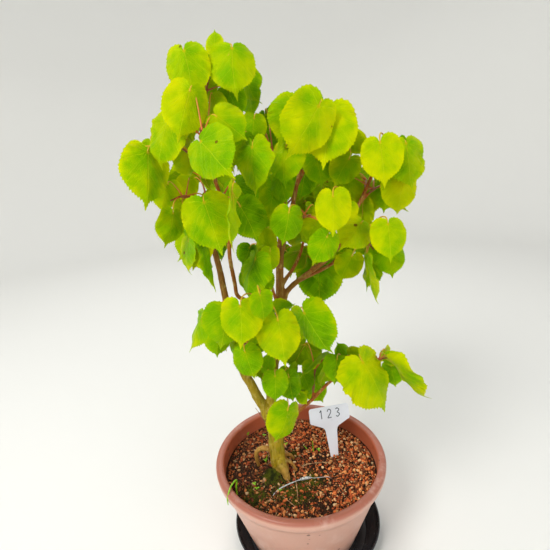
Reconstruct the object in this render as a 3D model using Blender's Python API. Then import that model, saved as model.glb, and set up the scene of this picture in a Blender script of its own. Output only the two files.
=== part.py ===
"""A small-leaved lime grown as a bonsai, in a round plastic pot on a saucer.

The table is at z = 0 and the pot's own axis is the Z axis. The tree is seen from the -Y side. Lengths are
millimetres until they reach a mesh, and MM turns them into Blender's metres.
"""

import math
import random
from collections import namedtuple

import bmesh
import bpy
from mathutils import Matrix, Quaternion, Vector
from mathutils.bvhtree import BVHTree

MM = 0.001
SEED = 16
GAP = 0.3  # between pieces that touch

# Pot, saucer and soil
SAUCER_HEIGHT = 22.0
SAUCER_FLOOR = 2.5
SAUCER_WALL = 2.2
SAUCER_FOOT_RADIUS = 88.0
SAUCER_RIM_RADIUS = 103.0
SAUCER_CENTRE = Vector((6.0, -4.0, 0.0))
POT_FOOT = SAUCER_FLOOR + GAP
RIM_TOP = 125.0
RIM_RADIUS = 116.5
RIM_INNER_RADIUS = 105.5
RIM_ROLL = 4.6
POT_NECK_RADIUS = 109.5
POT_NECK = RIM_TOP - 21.0
POT_FOOT_RADIUS = 77.0
POT_WALL = 3.2
POT_FLOOR = 3.0
POT_FOOT_RING = 4.0
DRAIN_HOLES = 6
DRAIN_RADIUS = 6.0
DRAIN_CIRCLE = 48.0
SOIL_LEVEL = 103.0
SOIL_MOUND = 4.0
SOIL_MOUND_CENTRE = Vector((-24.0, -4.0))
SOIL_MOUND_SPREAD = 20.0
SOIL_GRAIN = 0.6
SOIL_RINGS = (98.0, 79.0, 61.0, 44.0, 28.0, 13.0)
SOIL_SIDES = 26
SOIL_WALL_GAP = 0.6  # between many-sided walls
HOLE_ROOM = 0.8
HOLE_SIDES = 12
POT_SIDES = 36
SMOOTH_ANGLE = math.radians(40)

# Plant label
LABEL_WIDTH = 60.0
LABEL_LENGTH = 100.0
LABEL_SIDE = 23.0
LABEL_SHOULDER = 30.0
LABEL_STEM_TOP = 17.0
LABEL_STEM_FOOT = 7.5
LABEL_THICKNESS = 1.2
LABEL_FOOT = Vector((50.5, 17.0, SOIL_LEVEL))
LABEL_BURIED = 30.0
LABEL_LEAN_BACK = 20.0
LABEL_TURN = 11.0

# Tie wire in front of the roots
WIRE_RADIUS = 0.9
WIRE_KNOT_RADIUS = 1.8
WIRE_OFF_SOIL = 1.4
WIRE_SIDES = 5

# Wood
TRUNK_SIDES = 9
ROOT_SIDES = 7
LIMB_SIDES = 6
TWIG_SIDES = 4
TWIG_STEPS = 4
TWIG_RADIUS = 1.5
TWIG_TIP_RADIUS = 0.9
TWIG_SPUR = 2.5  # a twig's woody stub ends this far off the wood
TWIG_ROOM = 0.4
TWIG_SHIFTS = (0, -8, 8, -16, 16, -24, 24)  # mm along the line of sight, for the twig's end
TWIG_BENDS = (0, -40, 40, -80, 80, -120, 120, 180)  # degrees off upright, in the order they are tried

# Leaves
BLADE_THICKNESS = 0.9
STALK_WIDTH = 1.3
FIRST_STALK = 5.0  # the lowest stalk's place on a twig
LAST_STALK = 1.5  # the highest one's place, from the twig's end
STALK_REACH = 9.0  # a stalk leaves its twig this far before the place nearest to its blade
CLEARANCE = 1.2  # a blade is tested this much thicker than it is
TRIES = 60
STEP_ALONG_SIGHT = 2.0
HALF_OUTLINE = (  # across and along, as shares of the blade's length, from the stalk to the tip
    (0.14, -0.10),
    (0.38, -0.09),
    (0.50, 0.14),
    (0.49, 0.42),
    (0.34, 0.68),
    (0.09, 0.86),
)
MIDRIB = 0.42

# The photograph's camera, from the pot's rim: leaves are placed where it shows them
PHOTO_SIZE = 550
PHOTO_FOCAL = 420.0  # pixels
PHOTO_EYE = Vector((-20.0, -484.0, RIM_TOP + 411.0))
PHOTO_PITCH = 17.3
PHOTO_ROLL = -3.4

Limb = namedtuple("Limb", "name route radii sides")
Shoot = namedtuple("Shoot", "name limb height end leaves more")
Form = namedtuple("Form", "width arch fold wave phase")

LIMBS = (
    Limb(
        "trunk",
        ((-26, -5, 84), (-28, -6, 108), (-31, -8, 130), (-32, -8, 162), (-35, -8, 190), (-39, -8, 210)),
        (12.0, 11.5, 10.8, 9.6, 9.0, 8.0),
        TRUNK_SIDES,
    ),
    Limb(
        "left_stem",
        (
            (-37, -8, 196), (-50, -9, 219), (-59, -9, 243), (-67, -10, 262), (-75, -8, 300),
            (-80, -5, 344), (-87, 0, 403), (-97, 4, 445), (-110, 8, 486),
        ),
        (7.6, 6.6, 6.0, 5.6, 5.0, 4.4, 3.7, 2.9, 2.1),
        LIMB_SIDES + 1,
    ),
    Limb(
        "centre_stem",
        (
            (-35, -7, 196), (-34, -4, 225), (-28, 0, 262), (-20, 2, 310), (-14, 2, 350),
            (-13, 2, 387), (-9, 4, 417), (4, 5, 463), (13, 6, 497), (19, 8, 523),
        ),
        (7.0, 6.4, 5.8, 5.0, 4.3, 3.6, 3.2, 2.8, 2.4, 1.9),
        LIMB_SIDES + 1,
    ),
    Limb(
        "right_limb",
        (
            (-13, 2, 350), (-4, 1, 366), (17, 0, 383), (43, -3, 402),
            (60, -5, 423), (75, -5, 454), (94, -6, 495),
        ),
        (3.8, 3.4, 3.1, 2.9, 2.7, 2.4, 2.0),
        LIMB_SIDES,
    ),
    Limb(
        "inner_left",
        (
            (-22, 1, 318), (-40, -8, 344), (-56, -12, 359), (-66, -14, 367), (-68, -14, 384),
            (-71, -13, 414), (-70, -12, 446), (-74, -12, 479), (-82, -12, 510), (-91, -14, 548),
        ),
        (3.2, 2.9, 2.7, 2.6, 2.6, 2.5, 2.4, 2.3, 2.1, 1.8),
        LIMB_SIDES,
    ),
    Limb(
        "mid_twig",
        ((-17, 2, 340), (-23, 2, 362), (-27, 3, 385), (-31, 5, 408)),
        (2.2, 2.0, 1.8, 1.6),
        LIMB_SIDES,
    ),
    Limb(
        "dark_branch",
        ((-13, 2, 372), (3, 14, 388), (12, 22, 402), (18, 28, 418)),
        (2.6, 2.3, 2.0, 1.7),
        LIMB_SIDES,
    ),
    Limb(
        "back_right",
        ((8, 0, 377), (36, 12, 384), (55, 18, 393), (70, 20, 413), (80, 20, 428)),
        (2.6, 2.4, 2.2, 2.0, 1.7),
        LIMB_SIDES,
    ),
    Limb(
        "low_right",
        ((-30, -8, 178), (-8, -14, 196), (16, -18, 219), (44, -20, 249), (70, -25, 264), (95, -28, 272)),
        (3.0, 2.7, 2.4, 2.2, 2.0, 1.7),
        LIMB_SIDES,
    ),
    Limb("mid_fork", ((11, 6, 490), (22, 9, 508), (30, 12, 525)), (2.1, 1.9, 1.7), LIMB_SIDES),
    Limb(
        "back_stem",
        ((-21, 2, 305), (-18, 22, 345), (-14, 46, 395), (-6, 62, 450), (4, 66, 500)),
        (3.6, 3.2, 2.8, 2.3, 1.8),
        LIMB_SIDES,
    ),
    Limb(
        "back_left",
        ((-79, -6, 335), (-88, 18, 380), (-98, 42, 430), (-100, 52, 475)),
        (3.2, 2.8, 2.2, 1.7),
        LIMB_SIDES,
    ),
)
ROOTS = (
    Limb(
        "front_root",
        ((-31, -8, 134), (-26, -16, 122), (-21, -22, 108), (-18, -26, 90)),
        (7.2, 6.2, 5.0, 4.0),
        ROOT_SIDES + 1,
    ),
    Limb(
        "left_root",
        ((-31, -6, 128), (-43, -3, 137), (-56, -2, 136), (-61, 0, 124), (-59, 6, 103), (-58, 8, 92)),
        (4.4, 3.8, 3.4, 3.0, 2.7, 2.4),
        ROOT_SIDES,
    ),
    Limb(
        "back_root",
        ((-29, -6, 128), (-19, 5, 119), (-11, 11, 110), (-7, 14, 90)),
        (3.8, 2.8, 2.3, 1.9),
        ROOT_SIDES,
    ),
    Limb(
        "right_root",
        ((-29, -8, 128), (-18, -8, 120), (-9, -9, 110), (-4, -11, 92)),
        (3.6, 2.6, 2.1, 1.7),
        ROOT_SIDES,
    ),
)

# A leaf the photograph shows: where its blade joins the stalk, where its tip hangs, how far it is in front of
# the pot's axis, how far it is turned from facing the viewer, and how steeply its tip comes forward.
SHOOTS = (
    Shoot("top_up", "inner_left", 546, (214, 58, 2), (
        (184, 51, 192, 99, 30), (214, 49, 214, 28, -8), (232, 48, 236, 97, 28, -10), (213, 55, 217, 88, -14),
        (245, 74, 256, 104, -12, 40), (228, 90, 241, 119, 4, 15), (250, 86, 250, 118, -24, 55),
    ), 0),
    Shoot("top_mid", "inner_left", 492, (201, 131, 64), (
        (190, 90, 178, 141, 54), (216, 116, 247, 140, 62), (213, 98, 222, 122, 14, 30),
        (168, 121, 153, 168, 50, 50), (201, 142, 231, 177, 78, 0, 1.2),
    ), 0),
    Shoot("top_side", "inner_left", 506, (160, 138, 26), (
        (148, 152, 151, 208, 44, -40), (139, 147, 124, 145, 18), (151, 141, 159, 164, 2, 20),
    ), 0),
    Shoot("left_end", "left_stem", 482, (172, 200, 14), (
        (173, 213, 167, 249, 36, -30), (168, 184, 162, 215, 18, 25), (189, 180, 183, 206, -6),
        (190, 214, 184, 240, 4, 40),
    ), 0),
    Shoot("left_low", "left_stem", 425, (204, 236, 24), (
        (188, 241, 183, 274, 26, 60), (200, 242, 192, 271, 22, 10), (207, 243, 218, 292, 52, -72),
    ), 0),
    Shoot("inner_front", "inner_left", 470, (224, 194, 56), (
        (204, 202, 222, 256, 78), (231, 190, 223, 252, 104, 90), (240, 206, 258, 243, 48),
        (236, 184, 256, 213, 28),
    ), 0),
    Shoot("heart", "mid_twig", 404, (268, 205, 8), (
        (266, 212, 264, 230, 14), (268, 247, 262, 224, 6), (273, 193, 270, 222, 24),
        (262, 178, 258, 205, -8),
    ), 1),
    Shoot("centre_left", "centre_stem", 452, (272, 160, 27), (
        (252, 147, 255, 197, 66, 48), (280, 178, 287, 205, 14), (286, 147, 282, 186, 26, 20),
        (264, 137, 267, 175, -8, 25), (265, 115, 269, 142, -16, 40), (243, 137, 239, 171, 40),
        (254, 118, 250, 146, 20),
    ), 0),
    Shoot("mid_top", "centre_stem", 521, (315, 100, 26), (
        (319, 106, 291, 160, 64, -12), (312, 95, 310, 138, 32), (329, 112, 322, 169, 50, 25),
        (297, 104, 280, 147, 38, 15),
    ), 0),
    Shoot("mid_right", "mid_fork", 523, (345, 128, 6), (
        (339, 115, 349, 148, 24, -10), (316, 158, 322, 187, 8), (349, 159, 333, 186, 22),
        (352, 137, 364, 156, 0), (305, 172, 300, 200, -20),
    ), 0),
    Shoot("right_end", "right_limb", 493, (396, 138, 28), (
        (380, 142, 386, 187, 64), (406, 143, 414, 190, 44, -15), (401, 152, 384, 195, 72, 60),
        (402, 178, 399, 218, 30),
    ), 0),
    Shoot("right_mid", "right_limb", 466, (380, 186, 2), (
        (373, 183, 371, 215, -14), (388, 186, 384, 213, -6), (347, 180, 357, 208, 0),
    ), 1),
    Shoot("front_heart", "right_limb", 446, (341, 190, 56), (
        (333, 196, 334, 237, 84), (349, 206, 351, 224, 22),
    ), 0),
    Shoot("centre_front", "centre_stem", 430, (310, 215, 50), (
        (289, 212, 283, 246, 74), (317, 220, 306, 243, 36), (327, 237, 312, 266, 74),
    ), 0),
    Shoot("right_low", "right_limb", 414, (376, 228, 44), (
        (361, 223, 342, 247, 54, 0, 1.2), (388, 224, 391, 263, 74), (388, 248, 393, 279, 42),
    ), 0),
    Shoot("right_under", "back_right", 426, (374, 250, 22), (
        (366, 261, 374, 305, 48, 76), (366, 252, 362, 292, 30, 70), (352, 256, 340, 282, 12),
        (347, 238, 340, 262, 2),
    ), 0),
    Shoot("big_hanging", "right_limb", 388, (317, 256, -22), ((317, 262, 319, 310, -18),), 1),
    Shoot("middle", "centre_stem", 392, (266, 254, 40), (
        (255, 259, 246, 302, 48, 46), (247, 274, 244, 291, 20), (270, 251, 268, 275, 52),
        (264, 276, 253, 300, 34),
    ), 0),
    Shoot("low_front", "centre_stem", 318, (262, 300, 56), (
        (240, 306, 240, 350, 92), (260, 295, 266, 323, 60, -20), (278, 320, 286, 369, 88),
        (274, 309, 296, 307, 26, 55),
    ), 0),
    Shoot("low_left", "left_stem", 338, (214, 306, 40), (
        (227, 309, 221, 352, 62), (202, 316, 187, 352, 50, 60), (236, 339, 232, 359, 56, 40),
    ), 0),
    Shoot("low_left_inner", "left_stem", 292, (252, 345, 44), (
        (245, 352, 255, 381, 74), (257, 332, 244, 347, 38), (268, 370, 268, 352, 42),
    ), 0),
    Shoot("low_right_front", "centre_stem", 288, (302, 316, 40), ((304, 313, 327, 359, 64, 32),), 0),
    Shoot("trunk_front", "centre_stem", 232, (286, 386, 44), (
        (275, 376, 276, 404, 64), (289, 377, 294, 403, 48), (300, 395, 308, 405, 40),
        (288, 410, 277, 446, 58, -44),
    ), 0),
    Shoot("low_twig", "low_right", 222, (316, 362, 8), (
        (322, 354, 296, 374, 32, 72), (313, 363, 322, 389, 8), (312, 383, 324, 404, -18),
        (303, 374, 311, 393, 20),
    ), 1),
    Shoot("low_mid", "low_right", 256, (345, 358, 40), (
        (337, 359, 334, 387, 56), (346, 357, 337, 342, 6), (350, 356, 372, 366, 36, 0, 1.0),
        (348, 368, 346, 390, 38),
    ), 0),
    Shoot("low_end", "low_right", 271, (386, 358, 40), (
        (363, 362, 394, 412, 74, -32), (388, 357, 404, 362, 30, 0, 1.0), (391, 361, 425, 404, 56, 74),
        (391, 366, 395, 389, 20),
    ), 0),
)
# Twigs on the far side, which the photograph doesn't show: name, limb, height, heading and rise in degrees,
# length and leaves
BACK_SHOOTS = (
    ("back_top", "inner_left", 540, 100, 40, 60, 3),
    ("back_high", "back_stem", 498, 80, 45, 60, 4),
    ("back_mid_right", "back_stem", 455, 30, 25, 60, 4),
    ("back_mid_left", "back_stem", 430, 135, 20, 60, 3),
    ("back_low", "back_stem", 385, 80, 5, 55, 4),
    ("back_left_end", "back_left", 473, 110, 40, 55, 4),
    ("back_left_low", "back_left", 420, 107, 10, 50, 3),
    ("dark_end", "dark_branch", 416, 70, 40, 55, 3),
    ("right_back", "right_limb", 480, 75, 5, 60, 4),
    ("low_back", "centre_stem", 255, 95, 10, 55, 3),
    ("left_back", "left_stem", 310, 95, 5, 50, 3),
)


def rotation_of_camera():
    """Columns: the photograph's right, up and backwards, in the part's own frame."""
    pitch = math.radians(90 - PHOTO_PITCH)
    return Matrix.Rotation(pitch, 3, "X") @ Matrix.Rotation(math.radians(PHOTO_ROLL), 3, "Z")


def sight(column, row):
    """The direction in which the photograph shows a pixel."""
    half = PHOTO_SIZE / 2
    return rotation_of_camera() @ Vector(((column - half) / PHOTO_FOCAL, (half - row) / PHOTO_FOCAL, -1))


def seen_at(column, row, front):
    """The point that a pixel shows, this far in front of the pot's axis."""
    ray = sight(column, row)
    return PHOTO_EYE + ray * ((-front - PHOTO_EYE.y) / ray.y)


def hanging_tip(column, row, base, forward):
    """Where a tip seen at this pixel is, if it comes forward by this share of how far it hangs."""
    ray = sight(column, row)
    along = forward * (base.z - PHOTO_EYE.z) + PHOTO_EYE.y - base.y
    return PHOTO_EYE + ray * (along / (forward * ray.z - ray.y))


def bezier(start, control, end, share):
    return start * (1 - share) ** 2 + control * 2 * share * (1 - share) + end * share**2


def smooth_route(points, radii, steps):
    """A Catmull-Rom curve through points, with the radius at each place on it."""
    points = [Vector(p) for p in points]
    full = [points[0] * 2 - points[1], *points, points[-1] * 2 - points[-2]]
    route, sizes = [], []
    for k in range(len(points) - 1):
        before, here, there, after = full[k : k + 4]
        for step in range(steps):
            t = step / steps
            second = before * 2 - here * 5 + there * 4 - after
            third = here * 3 - before - there * 3 + after
            route.append((here * 2 + (there - before) * t + second * t**2 + third * t**3) / 2)
            sizes.append(radii[k] + (radii[k + 1] - radii[k]) * t)
    return [*route, points[-1]], [*sizes, radii[-1]]


def mesh_of(name, vertices, faces):
    """A new mesh with outward faces, from millimetres."""
    mesh = bpy.data.meshes.new(name)
    mesh.from_pydata([v * MM for v in vertices], [], faces)
    work = bmesh.new()
    work.from_mesh(mesh)
    bmesh.ops.recalc_face_normals(work, faces=work.faces)
    work.to_mesh(mesh)
    work.free()
    return mesh


def placed(name, mesh, material=None):
    obj = bpy.data.objects.new(name, mesh)
    bpy.context.scene.collection.objects.link(obj)
    if material:
        mesh.materials.append(material)
    return obj


def smoothed(obj):
    obj.data.shade_smooth()
    obj.data.set_sharp_from_angle(angle=SMOOTH_ANGLE)
    return obj


def tube(route, radii, sides):
    """Vertices and faces of a closed tube whose rings don't twist."""
    vertices, faces = [], []
    across = None
    for k, point in enumerate(route):
        ahead = (route[min(k + 1, len(route) - 1)] - route[max(k - 1, 0)]).normalized()
        if across is None:
            across = ahead.orthogonal().normalized()
        across = (across - ahead * across.dot(ahead)).normalized()
        up = ahead.cross(across)
        for side in range(sides):
            angle = math.tau * side / sides
            vertices.append(point + (across * math.cos(angle) + up * math.sin(angle)) * radii[k])
    for k in range(len(route) - 1):
        for side in range(sides):
            after = (side + 1) % sides
            low, high = k * sides, (k + 1) * sides
            faces.append((low + side, low + after, high + after, high + side))
    faces.append(tuple(reversed(range(sides))))
    faces.append(tuple(range((len(route) - 1) * sides, len(route) * sides)))
    return vertices, faces


def lathe(profile, sides, lift=None):
    """Vertices and faces of a profile of (radius, height) turned about Z, each point lifted by its place."""
    vertices, rings, faces = [], [], []
    for radius, height in profile:
        ring = []
        for side in range(1 if radius == 0 else sides):
            angle = math.tau * side / sides
            point = Vector((radius * math.cos(angle), radius * math.sin(angle), height))
            if lift:
                point.z += lift(point)
            ring.append(len(vertices))
            vertices.append(point)
        rings.append(ring)
    closed = profile[0][0] != 0
    for k in range(len(rings) - (0 if closed else 1)):
        one, two = rings[k], rings[(k + 1) % len(rings)]
        for side in range(sides):
            after = (side + 1) % sides
            here, there = side % len(one), after % len(one)
            above, beside = side % len(two), after % len(two)
            faces.append(tuple(dict.fromkeys((one[here], one[there], two[beside], two[above]))))
    return vertices, faces


def arc(centre, radius, start, end, steps):
    """Points on an arc in a profile, its angles in degrees."""
    angles = [math.radians(start + (end - start) * k / steps) for k in range(steps + 1)]
    return [(centre[0] + radius * math.cos(a), centre[1] + radius * math.sin(a)) for a in angles]


def boolean(target, others, operation, solver="EXACT"):
    """Joins or cuts target by a list of objects at once, and removes them."""
    group = bpy.data.collections.new(target.name + "_operands")
    bpy.context.scene.collection.children.link(group)
    for other in others:
        group.objects.link(other)
    modifier = target.modifiers.new("Join", "BOOLEAN")
    modifier.operation = operation
    modifier.operand_type = "COLLECTION"
    modifier.collection = group
    modifier.solver = solver
    with bpy.context.temp_override(object=target, active_object=target):
        bpy.ops.object.modifier_apply(modifier="Join")
    for other in others:
        bpy.data.objects.remove(other)
    bpy.data.collections.remove(group)


def material(name, colour, roughness, metallic=0.0):
    made = bpy.data.materials.new(name)
    made.use_nodes = True
    shader = made.node_tree.nodes["Principled BSDF"]
    shader.inputs["Base Color"].default_value = (*colour, 1)
    shader.inputs["Roughness"].default_value = roughness
    shader.inputs["Metallic"].default_value = metallic
    return made


def limb_route(limb, steps=1):
    return smooth_route(limb.route, limb.radii, steps)


def point_at_height(limb, height):
    """The place on a limb's route at a height, and its radius there."""
    route, radii = limb_route(limb, 8)
    for low, high, r_low, r_high in zip(route, route[1:], radii, radii[1:]):
        if low.z <= height <= high.z:
            share = (height - low.z) / (high.z - low.z)
            return low.lerp(high, share), r_low + (r_high - r_low) * share
    return route[-1], radii[-1]


def twig_route(start, end, bend):
    """A twig's points. It arches upwards on its way to its end, or turned from that by an angle."""
    reach = end - start
    rise = Quaternion(reach.normalized(), math.radians(bend)) @ Vector((0, 0, 0.18 * reach.length))
    control = start + reach * 0.5 + rise
    return [bezier(start, control, end, k / TWIG_STEPS) for k in range(TWIG_STEPS + 1)]


def cut_route(route, skip):
    """The route without its first stretch of that length."""
    for k in range(len(route) - 1):
        step = (route[k + 1] - route[k]).length
        if skip < step:
            here = route[k].lerp(route[k + 1], skip / step)
            return here, [p for p in route[k + 1 :] if (p - here).length > 2.0]
        skip -= step
    raise ValueError("the twig is shorter than its stub")


def split_twig(route, radius, wood):
    """The end of a twig's stub, and the twig that goes on from it, clear of all wood."""
    skip = radius
    while True:
        cut, rest = cut_route(route, skip)
        nearest = min(tree.find_nearest(cut)[3] for tree in wood)
        if nearest >= TWIG_RADIUS + TWIG_SPUR:
            return cut, [cut + (rest[0] - cut).normalized() * GAP, *rest]
        skip += 0.5


def clear_twig(start, end, radius, taken, wood):
    """The first way for a twig to arch that takes it clear of the wood and of the other twigs."""
    choices = [(shift, bend) for shift in TWIG_SHIFTS for bend in TWIG_BENDS]
    for shift, bend in choices:
        sight_line = (end - PHOTO_EYE).normalized()
        cut, twig = split_twig(twig_route(start, end + sight_line * shift, bend), radius, wood)
        taper = (TWIG_TIP_RADIUS - TWIG_RADIUS) / (len(twig) - 1)
        sizes = [TWIG_RADIUS + taper * k for k in range(len(twig))]
        stub = tube([start, cut], [TWIG_RADIUS + TWIG_ROOM] * 2, TWIG_SIDES)
        if not taken.meets(*tube(twig, [size + TWIG_ROOM for size in sizes], TWIG_SIDES)):
            if not taken.meets(*stub, but="wood"):
                return cut, twig, sizes
    raise ValueError("a twig meets the wood")


def leaf_frame(base, tip, turn):
    """Across, along and out of a blade's upper face, which turns from the viewer by an angle in degrees."""
    along = (tip - base).normalized()
    view = (PHOTO_EYE - base).normalized()
    out = (view - along * view.dot(along)).normalized()
    out = Quaternion(along, math.radians(turn)) @ out
    return along.cross(out), along, out


def blade_point(across, along, length, form):
    """A point of the curved blade in its own frame, from shares of its length."""
    side = math.copysign(1, across) if across else 0
    edge = abs(across) * 2
    drop = form.arch * along * along + form.fold * abs(across)
    ripple = form.wave * edge * edge * math.sin(form.phase + side * 1.3 + along * 9)
    return Vector((across * form.width, along, ripple - drop)) * length


def stalk_path(root, base, along, out, length):
    """A leaf stalk leaves the twig upwards and outwards, then bends over into the blade's midrib."""
    bend = base - along * (0.35 * length) + out * (-0.12 * length) + Vector((0, 0, 0.1 * length))
    return [bezier(root, bend, base, share) for share in (0, 0.55, 1)]


def leaf_mesh(base, tip, turn, root, form, thick=BLADE_THICKNESS):
    """Vertices and triangles of one leaf: a closed blade, and a stalk drawn out of its base wall."""
    across, along, out = leaf_frame(base, tip, turn)
    length = (tip - base).length
    half = STALK_WIDTH / 2

    def world(point):
        return base + across * point.x + along * point.y + out * point.z

    right = [world(blade_point(x, y, length, form)) for x, y in HALF_OUTLINE]
    left = [world(blade_point(-x, y, length, form)) for x, y in HALF_OUTLINE]
    point = world(blade_point(0, 1, length, form))
    rib = world(blade_point(0, MIDRIB, length, form))
    sheet = [base - across * half, base + across * half, *right, point, *reversed(left), rib]
    n = len(HALF_OUTLINE)
    base_left, base_right, tip_at, rib_at = 0, 1, 2 + n, len(sheet) - 1
    up = [p + out * (thick / 2) for p in sheet]
    down = [p - out * (thick / 2) for p in (base, *sheet[2:])]
    under = [len(sheet) + max(k - 1, 0) for k in range(len(sheet))]
    flat = [(base_left, base_right, rib_at)]
    for side, start in ((1, base_right), (-1, base_left)):
        edge = [start] + [2 + k if side > 0 else len(sheet) - 2 - k for k in range(n)] + [tip_at]
        tris = [(edge[0], edge[1], edge[2]), (edge[0], edge[2], rib_at)]
        tris += [(rib_at, edge[k], edge[k + 1]) for k in range(2, n + 1)]
        flat += [t if side > 0 else t[::-1] for t in tris]
    faces = flat + [tuple(under[k] for k in reversed(t)) for t in flat[1:]]
    rim = list(range(1, len(sheet) - 1)) + [0]
    for here, there in zip(rim, rim[1:]):
        faces += [(here, under[here], there), (there, under[here], under[there])]
    vertices = up + down
    blade_faces = len(faces)
    path = stalk_path(root, base, along, out, (base - root).length)
    ring = [0, 1, under[0]]
    corners = [vertices[k] - base for k in ring]
    heading = along
    for place, ahead in zip(path[-2::-1], path[:0:-1]):
        back = ahead - place
        turned = heading.rotation_difference(back)
        heading = back
        corners = [turned @ c for c in corners]
        fresh = [len(vertices) + k for k in range(3)]
        vertices += [place + c for c in corners]
        for k in range(3):
            one, two = k, (k + 1) % 3
            faces += [(ring[one], ring[two], fresh[two]), (ring[one], fresh[two], fresh[one])]
        ring = fresh
    faces.append(tuple(ring))
    return vertices, faces, blade_faces


def box_of(vertices):
    low = Vector((min(v[k] for v in vertices) for k in range(3)))
    high = Vector((max(v[k] for v in vertices) for k in range(3)))
    return low, high


class Occupied:
    """The space that is already taken, as search trees with their boxes and the shoot that they belong to."""

    def __init__(self):
        self.trees = []

    def add(self, owner, vertices, faces):
        self.trees.append((owner, BVHTree.FromPolygons(vertices, faces), *box_of(vertices)))

    def meets(self, vertices, faces, but=""):
        """Whether a shape meets anything, but what belongs to one owner."""
        low, high = box_of(vertices)
        shape = BVHTree.FromPolygons(vertices, faces)
        for owner, tree, other_low, other_high in self.trees:
            apart = any(low[k] > other_high[k] or high[k] < other_low[k] for k in range(3))
            if owner != but and not apart and shape.overlap(tree):
                return True
        return False


def drawn_form(rng):
    return Form(
        rng.uniform(0.82, 0.95),
        rng.uniform(0.04, 0.20),
        rng.uniform(0.10, 0.34),
        rng.uniform(0.02, 0.05),
        rng.uniform(0, math.tau),
    )


def root_on(route, base):
    """Where a leaf's stalk leaves a twig: a little before the place nearest to the blade."""
    places, run = [], 0.0
    for k in range(len(route) - 1):
        step = (route[k + 1] - route[k]).length
        for part in range(4):
            places.append((run + step * part / 4, route[k].lerp(route[k + 1], part / 4)))
        run += step
    places.append((run, route[-1]))
    nearest = min(places, key=lambda p: (p[1] - base).length)[0]
    wanted = max(FIRST_STALK, min(nearest - STALK_REACH, run - LAST_STALK))
    return min(places, key=lambda p: abs(p[0] - wanted))[1]


def grow():
    """Every twig with its stub and its leaves, by name. Random numbers are drawn in a fixed order."""
    rng = random.Random(SEED)
    limbs = {limb.name: limb for limb in LIMBS}
    taken = Occupied()
    wood = []
    for limb in (*LIMBS, *ROOTS):
        vertices, faces = tube(*limb_route(limb), limb.sides)
        taken.add("wood", vertices, faces)
        wood.append(BVHTree.FromPolygons(vertices, faces))
    wanted = []
    for shoot in SHOOTS:
        start, radius = point_at_height(limbs[shoot.limb], shoot.height)
        wanted.append((shoot, start, radius, seen_at(*shoot.end)))
    for name, limb, height, heading, rise, length, leaves in BACK_SHOOTS:
        start, radius = point_at_height(limbs[limb], height)
        turn, lift = math.radians(heading), math.radians(rise)
        reach = Vector((math.cos(turn) * math.cos(lift), math.sin(turn) * math.cos(lift), math.sin(lift)))
        wanted.append((Shoot(name, limb, height, None, (), leaves), start, radius, start + reach * length))
    plants = {}
    for shoot, start, radius, end in wanted:
        cut, twig, sizes = clear_twig(start, end, radius, taken, wood)
        taken.add(shoot.name, *tube(twig, sizes, TWIG_SIDES))
        taken.add("stub", *tube([start, cut], [TWIG_RADIUS] * 2, TWIG_SIDES))
        plants[shoot.name] = {
            "stub": [start, cut], "twig": twig, "sizes": sizes, "leaves": [], "shoot": shoot,
        }
    for name, plant in plants.items():
        for row in plant["shoot"].leaves:
            plant["leaves"].append(shown_leaf(row, plant["twig"], taken, name, rng))
    for name, plant in plants.items():
        for number in range(plant["shoot"].more):
            leaf = free_leaf(plant, number, taken, name, rng)
            if leaf:
                plant["leaves"].append(leaf)
    return plants


def settled(base, tip, turn, twig, taken, own, form):
    """The leaf, if it is clear of everything; otherwise None."""
    root = root_on(twig, base)
    vertices, faces, blade_faces = leaf_mesh(base, tip, turn, root, form, BLADE_THICKNESS + CLEARANCE)
    blade, stalk = faces[:blade_faces], faces[blade_faces:]
    if taken.meets(vertices, blade) or taken.meets(vertices, stalk, but=own):
        return None
    taken.add("blade", vertices, blade)
    taken.add(own, vertices, stalk)
    return base, tip, turn, root, form


def shown_leaf(row, twig, taken, own, rng):
    """A leaf where the photograph shows it. If something is in its way, it moves along the line of sight."""
    column, line, tip_column, tip_line, front, *rest = row
    turn = rest[0] if rest else 0
    forward = rest[1] if len(rest) > 1 else 0.3
    form = drawn_form(rng)
    lean = rng.uniform(-14, 14)
    for attempt in range(TRIES):
        shift = (attempt + 1) // 2 * (STEP_ALONG_SIGHT if attempt % 2 else -STEP_ALONG_SIGHT)
        swing = 0 if attempt < 6 else rng.uniform(-25, 25)
        base = seen_at(column, line, front + shift)
        tip = hanging_tip(tip_column, tip_line, base, forward + swing / 60)
        leaf = settled(base, tip, turn + lean + swing, twig, taken, own, form)
        if leaf:
            return leaf
    raise ValueError(f"no room for the leaf at {column}, {line}")


def free_leaf(plant, number, taken, own, rng):
    """A leaf that the photograph doesn't show. They stand alternately, and one with no room isn't grown."""
    twig = plant["twig"]
    count = plant["shoot"].more
    share = 0.3 + 0.7 * (number + 1) / count
    place = min(len(twig) - 1, round(share * (len(twig) - 1)))
    ahead = (twig[place] - twig[place - 1]).normalized()
    side = ahead.cross(Vector((0, 0, 1))).normalized() * (1 if number % 2 else -1)
    form = drawn_form(rng)
    for _ in range(TRIES):
        spread = rng.uniform(16, 30)
        away = side * rng.uniform(0.5, 1.2) + ahead * rng.uniform(0.2, 0.8)
        away += Vector((0, rng.uniform(0, 0.9), 0.2))
        base = twig[place] + away.normalized() * spread
        hang = Vector((away.x * 0.35, away.y * 0.35, -1)).normalized()
        hang = (hang + Vector((rng.uniform(-0.3, 0.3), rng.uniform(-0.3, 0.3), 0))).normalized()
        tip = base + hang * rng.uniform(40, 56)
        leaf = settled(base, tip, 180 - rng.uniform(-70, 70), twig, taken, own, form)
        if leaf:
            return leaf
    return None


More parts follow.
